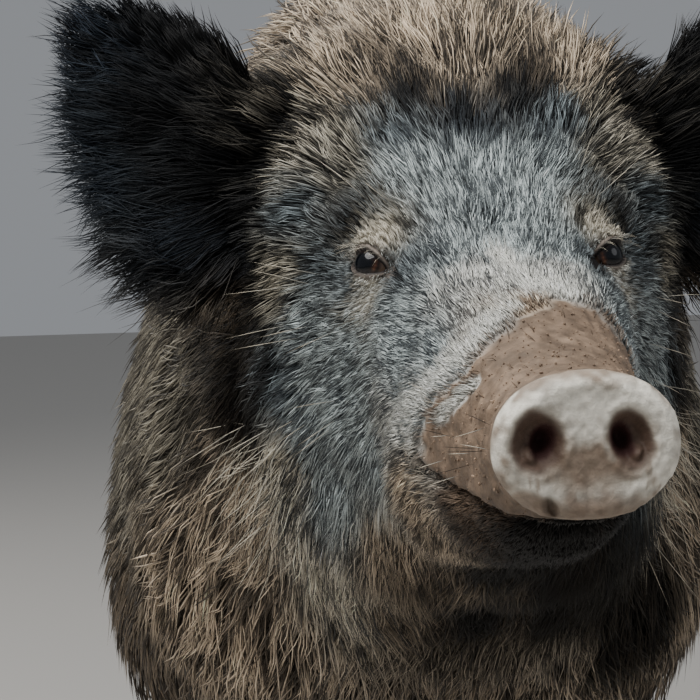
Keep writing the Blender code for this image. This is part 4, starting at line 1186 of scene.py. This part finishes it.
def weave(name, paths, normals, widths, colours, rings, unroll):
    """One mesh of closed slivers: a root point, rings of three points, and a tip."""
    root_colour, tip_colour, reach = colours
    count = len(paths)
    share = np.array(ALONG[rings])
    per = 3 * rings + 2
    points = np.empty((count, per, 3))
    shade = np.empty((count, per, 3))
    along = np.empty((count, per))
    patch = np.empty((count, per, 2))
    spots = bake_spots(paths[:, 0], *unroll)
    points[:, 0], points[:, -1] = paths[:, 0], paths[:, -1]
    for ring in range(rings):
        way = unit(paths[:, ring + 2] - paths[:, ring])
        side = unit(np.cross(normals, way))
        over = np.cross(way, side)
        half = (widths * RING_WIDTH[rings][ring])[:, None]
        for corner, (a, b) in enumerate(((1, -0.3), (-1, -0.3), (0, 1))):
            points[:, 1 + 3 * ring + corner] = paths[:, ring + 1] + half * (a * side + b * FLAT * over)
    steps = np.concatenate(([0.0], np.repeat(share[1:-1], 3), [1.0]))
    for k, s in enumerate(steps):
        shade[:, k] = blend(root_colour, tip_colour, rise(s, PALE_FROM, PALE_AT) * reach)
        along[:, k] = s
        aside = 0.15 + 0.7 * ((k - 1) % 3) / 2 if 0 < k < per - 1 else 0.5
        patch[:, k] = spots + PATCH * np.array((aside, s))
    round_ring = ((0, 1), (1, 2), (2, 0))
    end = 3 * rings - 2
    faces = [(0, 2, 1), (0, 3, 2), (0, 1, 3)]
    faces += [(3 * ring + 1 + a, 3 * ring + 1 + b, 3 * ring + 4 + b, 3 * ring + 4 + a)
              for ring in range(rings - 1) for a, b in round_ring]
    faces += [(end + a, end + b, per - 1) for a, b in round_ring]
    sizes = np.tile([len(face) for face in faces], count)
    loops = (np.concatenate(faces)[None] + per * np.arange(count)[:, None]).ravel().astype(np.int32)
    mesh = bpy.data.meshes.new(name)
    mesh.vertices.add(count * per)
    mesh.loops.add(len(loops))
    mesh.polygons.add(len(sizes))
    mesh.vertices.foreach_set("co", points.astype(np.float32).ravel())
    mesh.loops.foreach_set("vertex_index", loops)
    mesh.polygons.foreach_set("loop_start", starts_of(sizes).astype(np.int32))
    mesh.polygons.foreach_set("loop_total", sizes.astype(np.int32))
    mesh.update(calc_edges=True)
    paint(mesh, shade.reshape(-1, 3))
    layer = mesh.attributes.new("along", "FLOAT", "POINT")
    layer.data.foreach_set("value", along.astype(np.float32).ravel())
    bake_map(mesh, patch)
    mesh.shade_smooth()
    mesh.materials.append(coat_finish.material)
    piece = added(name, mesh)
    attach(piece, "root")


coat_finish = Finish("bristle", Roughness=0.52, Specular_IOR_Level=0.14)
strand = coat_finish.attribute("along", "Fac")
dust = coat_finish.noise(160.0, 3.0)
scale = coat_finish.noise(2600.0, 1.0)
tone = coat_finish.span(dust, (0.3, 0.7), (0.86, 1.12))
shaded = coat_finish.mix(1.0, coat_finish.attribute("coat"), tone * (0.62 + 0.38 * strand), "MULTIPLY")
coat_finish.feed(coat_finish.shader, Base_Color=shaded, Normal=coat_finish.bump(scale, 0.15, 0.0003))

of = {name: triangle_part == name for name in FLESH}
back, across, over = middles_in_head[:, 1], middles_in_head[:, 0], middles_in_head[:, 2]
on_head = of["head"] | of["lower_jaw"]
left = across > 0
body_left = middles[:, 0] > MIDDLE
clear_of_disc = rise(back, 0.020, 0.027) * (1 - of["nose_disc"] * rise(0.03 - back, 0, 0.01))
high = over > 0.105              # from here up the head's hair is its crown


def gap_to(spot):
    """Distance of each triangle of the hide from a spot that is on both sides of the head."""
    return np.linalg.norm(np.abs(middles_in_head) - spot, axis=1)


# How dense the coat is: dried mud covers nearly all of it, it is thin in the clefts behind the ruff
# and thick over the lower end of the ear's foot.
UNDER_MUD, IN_CLEFTS, OVER_FOOT = 0.997, 0.70, 2.0
LOWER_FOOT = (0.134, 0.334, 0.070)
hairy = 1 - UNDER_MUD * mud_at(middles_in_head)
hairy *= 1 - IN_CLEFTS * mark_at(middles_in_head, CLEFTS)
hairy *= 1 + OVER_FOOT * (1 - rise(gap_to(LOWER_FOOT), 0.012, 0.026))
ROUND_HEAD = (NOSE, HEAD_AXES[1], HEAD_AXES[2])
ROUND_BODY = ((MIDDLE, 0, 0.56), (0, 1, 0), (0, 0, 1))

FACE_FROM, CHEEK_FROM = 0.150, 0.270  # how far back the snout's hair ends, and the face's


def round_upright(name):
    return middle_of(name), (0, 0, 1), (0, 1, 0)


# name, where, strands, rings, strands to a lock, how far locks draw together, bake axis, slot
snout = (on_head | of["nose_disc"]) & (back < FACE_FROM)
PIECES = [("coat_snout", snout, 15500, 1, 5, 0.45, ROUND_HEAD, "coat")]
for word, here in (("left", left), ("right", ~left)):
    face = on_head & (back >= FACE_FROM) & (back < CHEEK_FROM) & here
    behind = on_head & (back >= CHEEK_FROM) & here
    PIECES += [
        ("coat_face_" + word, face, 24000, 1, 6, 0.70, ROUND_HEAD, "coat"),
        ("coat_cheek_" + word, behind & ~high, 11500, 2, 8, 0.75, ROUND_HEAD, "coat"),
        ("coat_crown_" + word, behind & high, 6500, 2, 8, 0.70, ROUND_HEAD, "coat"),
    ]
for word, here in (("left", body_left), ("right", ~body_left)):
    foot, (along, _, facing) = ear_frame(SIDES[word])
    ear = "ear_" + word
    PIECES += [
        ("coat_" + ear, of[ear], 9700, 2, 14, 0.75, (foot, along, facing), "coat_dark"),
        ("coat_neck_" + word, of["neck"] & here, 7200, 2, 8, 0.70, ROUND_BODY, "coat"),
        ("coat_trunk_" + word, of["trunk"] & here, 15500, 1, 7, 0.65, ROUND_BODY, "coat"),
    ]
    for leg in ("leg_front_" + word, "leg_hind_" + word):
        PIECES.append(("coat_" + leg, of[leg], 3400, 1, 6, 0.4, round_upright(leg), "coat_dark"))
PIECES.append(("coat_tail", of["tail"], 2000, 1, 6, 0.4, round_upright("tail"), "coat_dark"))

for number, (name, where, count, rings, locks, draw, unroll, slot) in enumerate(PIECES):
    chance = np.random.default_rng(100 + number)
    roots, normals = plant(where * clear_of_disc * hairy, count, chance)
    lift = EAR_LIFT if name.startswith("coat_ear") else 0
    paths, normals, widths, lead = comb(roots, normals, rings, locks, chance, draw, lift)
    weave(name, paths, normals, widths, dress(paths, lead, chance), rings, unroll)

# ---- lashes, whiskers and crumbs ---------------------------------------------------------------
# Lashes hang over each upper lid, stiff whiskers stand on snout, chin, cheeks and brows, free hairs
# fringe the ruff, and the mud on the snout has dried to crumbs.
LASHES, LASH_LENGTH, LASH_HALF = 36, (0.008, 0.015), 0.00009
LASH_ROOTS = 0.0008              # how far lashes start from the lid's rim and over its skin
BROW, CHEEK = (0.061, 0.256, 0.094), (0.090, 0.262, 0.030)
WHISKERS = (                     # where, how many, shortest and longest: millimetres
    (on_head & (back > 0.030) & (back < 0.130) & (over < 0.010), 60, (10, 22)),
    (of["lower_jaw"] & (back < 0.120), 24, (10, 20)),
    (on_head & (gap_to(BROW) < 0.014), 34, (16, 34)),
    (on_head & (gap_to(CHEEK) < 0.028), 44, (18, 38)),
)
WHISKER_HALF, FRINGE_HALF = 0.00014, 0.00022
FRINGE, FRINGE_LENGTH = 420, (0.018, 0.036)
RUFF_FROM, RUFF_LOW, RUFF_OUT = 0.285, -0.150, 0.095  # its reach: back, down and outwards
LOW = -0.030                     # below this the ruff's fringe hangs, and whiskers are never pale
CRUMBS, CRUMB_SIZE = 500, (0.0004, 0.0011)


def bristles(name, roots, ways, lengths, bend, half, pale_share, dark_below=True):
    """Free hairs that start along the ways and bend over by the bend, a vector for each."""
    share = np.array(ALONG[2])[None, :, None]
    paths = roots[:, None] + lengths[:, None, None] * (ways[:, None] * share + bend[:, None] * share**2)
    dark = dark_below & (in_head(roots)[:, 2] < LOW)
    pale = (chance.random(len(roots)) < np.where(dark, 0, pale_share))[:, None]
    colours = (np.where(pale, STEEL, SOOT), np.where(pale, CREAM, BLACK), np.ones(len(roots)))
    normals = unit(np.cross(ways, np.cross(ways, bend + (0, 0, 1e-3))))
    widths = np.full(len(roots), half)
    weave(name, paths, normals, widths, colours, 2, ROUND_HEAD)


chance = np.random.default_rng(7)
for word, side in SIDES.items():
    gaze, inwards, up = eye_frame(side)
    x = np.linspace(-0.96 * OPENING["outer"], 0.80 * OPENING["inner"], LASHES)
    along = np.abs(x) / np.where(x > 0, OPENING["inner"], OPENING["outer"])
    y = OPENING["upper"] * (1 - along**OPENING_ROUND) ** (1 / OPENING_ROUND) + LASH_ROOTS
    a, b = (x / EYE_RADIUS)[:, None], (y / EYE_RADIUS)[:, None]
    out = np.cos(b) * (np.cos(a) * gaze + np.sin(a) * inwards) + np.sin(b) * up
    roots = EYES[side] + out * (EYE_RADIUS + LID_THICK + LASH_ROOTS)
    ways = unit(out + 0.15 * up - 0.45 * inwards + chance.normal(0, 0.12, (LASHES, 3)))
    bristles("lashes_" + word, roots, ways, chance.uniform(*LASH_LENGTH, LASHES),
             np.tile(-0.80 * up, (LASHES, 1)), LASH_HALF, 0.5)

planted = [(*plant(where * clear_of_disc, count, chance), chance.uniform(*reach, count) * MM)
           for where, count, reach in WHISKERS]
roots, normals, lengths = (np.concatenate(each) for each in zip(*planted))
lie = unit(coat_at(roots)[:, LIE])
ways = unit(0.8 * normals + 0.6 * lie + chance.normal(0, 0.18, normals.shape))
bristles("whiskers", roots - normals * 0.0005, ways, lengths, 0.35 * lie, WHISKER_HALF, 0.45)

# Short pale hairs curl free of the ruff's lower half.
fringe = on_head & (back > RUFF_FROM) & (over < LOW) & (over > RUFF_LOW) & (np.abs(across) > RUFF_OUT)
roots, normals = plant(fringe, FRINGE, chance)
lie = unit(coat_at(roots)[:, LIE])
ways = unit(0.50 * normals + 0.9 * lie + chance.normal(0, 0.25, normals.shape))
droop = np.array((0, 0, -0.55)) + chance.normal(0, 0.50, normals.shape)
bristles("coat_fringe", roots, ways, chance.uniform(*FRINGE_LENGTH, FRINGE), droop, FRINGE_HALF, 0.95,
         dark_below=False)

bpy.ops.mesh.primitive_ico_sphere_add(subdivisions=1, radius=1)
clod = bpy.context.object
clod_places, clod_faces = read(clod.data), np.array([face.vertices[:] for face in clod.data.polygons])
bpy.data.objects.remove(clod)
roots, normals = plant(mud_at(middles_in_head) ** 2 * rise(back, 0.026, 0.034), CRUMBS, chance)
sizes = CRUMB_SIZE[0] + (CRUMB_SIZE[1] - CRUMB_SIZE[0]) * chance.random(CRUMBS) ** 3
turns = np.linalg.qr(chance.normal(size=(CRUMBS, 3, 3)))[0]
clods = clod_places[None] * chance.uniform(0.65, 1.2, (CRUMBS, len(clod_places), 1))
clods = np.einsum("nvi,nij->nvj", clods * (1, 0.85, 0.7), turns) * sizes[:, None, None]
clods += (roots + normals * (0.20 * sizes[:, None] + 0.0002))[:, None]
faces = (clod_faces[None] + len(clod_places) * np.arange(CRUMBS)[:, None, None]).reshape(-1, 3)
mesh = bpy.data.meshes.new("mud_crumbs")
mesh.from_pydata(clods.reshape(-1, 3).tolist(), [], faces.tolist())
# the crumbs are painted about a quarter paler than the mud, as painted light against their own shade, with
# a little random tone
crumb_lightened = markings(roots)[1] * np.exp(chance.normal(0.25, 0.08, CRUMBS))[:, None]
paint(mesh, np.repeat(crumb_lightened, len(clod_places), axis=0))
face_outwards(mesh)
bake_map(mesh, bake_spots(roots, *ROUND_HEAD)[:, None] + PATCH * (0.5 + 0.35 * clod_places[None, :, :2]))
mesh.materials.append(hide_finish.material)
crumbs = added("mud_crumbs", mesh)
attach(crumbs, "root")

# ---- the hooves --------------------------------------------------------------------------------
# Cloven claws and dewclaws of dark grey-brown horn: smooth at the coronet, ringed by growth and
# scratched pale towards the worn toes.
horn_finish = Finish("horn", Roughness=0.42, Specular_IOR_Level=0.4)
level = horn_finish.node("SeparateXYZ", None, "Z", Vector=horn_finish.place())
scratch = horn_finish.noise(420.0, 3.0)
growth = horn_finish.node("TexWave", {"wave_type": "BANDS", "bands_direction": "Z"}, "Fac",
                          Vector=horn_finish.place(), Scale=70.0, Distortion=2.0, Detail=2.0)
worn = horn_finish.span(level, (0.0, 0.03), (1.0, 0.0))
horn_colour = horn_finish.mix(worn * scratch, dye(46, 41, 38), dye(128, 114, 98))
horn_finish.feed(horn_finish.shader, Base_Color=horn_colour,
                 Normal=horn_finish.bump(growth * 0.6 + scratch * 0.4, 0.35, 0.0008))
for name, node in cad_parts.items():
    if name.startswith(("hoof", "dewclaw")):
        node.data.materials.clear()
        node.data.materials.append(horn_finish.material)

# ---- floor, light and camera -------------------------------------------------------------------
# A plain pale studio: one wide soft light over the head as under an overcast sky, little fill from
# the sides, and the camera level with the brow, a good step before the disc.
bpy.ops.mesh.primitive_plane_add(size=14)
floor = bpy.context.object
floor.name = "studio_floor"
floor_finish = Finish("studio_floor", Base_Color=dye(182, 179, 174), Roughness=0.85)
floor.data.materials.append(floor_finish.material)

world = bpy.data.worlds.new("studio")
bpy.context.scene.world = world
world.use_nodes = True
overcast = world.node_tree.nodes["Background"].inputs
overcast["Color"].default_value = (*dye(222, 226, 232), 1)
overcast["Strength"].default_value = 0.36


def lamp(name, spot, aim, size, power, colour):
    data = bpy.data.lights.new(name, "AREA")
    data.shape, data.size, data.energy, data.color = "DISK", size, power, colour
    look = (Vector(aim) - Vector(spot)).to_track_quat("-Z", "Y")
    added(name, data).matrix_world = Matrix.Translation(spot) @ look.to_matrix().to_4x4()


lamp("sky_light", (-0.8, -1.1, 2.6), (0, -0.4, 0.5), 2.2, 98, (1.0, 0.985, 0.96))
lamp("fill_light", (2.6, -1.4, 2.0), (0, -0.3, 0.6), 1.8, 12, (0.95, 0.97, 1.0))
lamp("back_light", (-1.6, 2.4, 2.2), (0, 0, 0.5), 1.6, 30, (1.0, 0.98, 0.96))

CAMERA = {"yaw": radians(3.5), "look_down": radians(5), "roll": radians(1.5), "distance": 1.4,
          "right": 0.1035, "below": 0.0458, "lens": 160}
AIM = (-0.0028, 0.0001, 0.0008)  # from the middle of the disc to where the camera's place is measured
sight = Vector((sin(CAMERA["yaw"]) * cos(CAMERA["look_down"]),
                cos(CAMERA["yaw"]) * cos(CAMERA["look_down"]), -sin(CAMERA["look_down"])))
rightwards = Vector((cos(CAMERA["yaw"]), -sin(CAMERA["yaw"]), 0))
upwards = rightwards.cross(sight)
camera = added("camera", bpy.data.cameras.new("camera"))
camera.data.lens = CAMERA["lens"]
stand = Vector(NOSE) + Vector(AIM) - sight * CAMERA["distance"]
stand = stand - rightwards * CAMERA["right"] + upwards * CAMERA["below"]
turned = Matrix((rightwards, upwards, -sight)).transposed().to_4x4()
camera.matrix_world = Matrix.Translation(stand) @ turned @ Matrix.Rotation(-CAMERA["roll"], 4, "Z")
bpy.context.scene.camera = camera
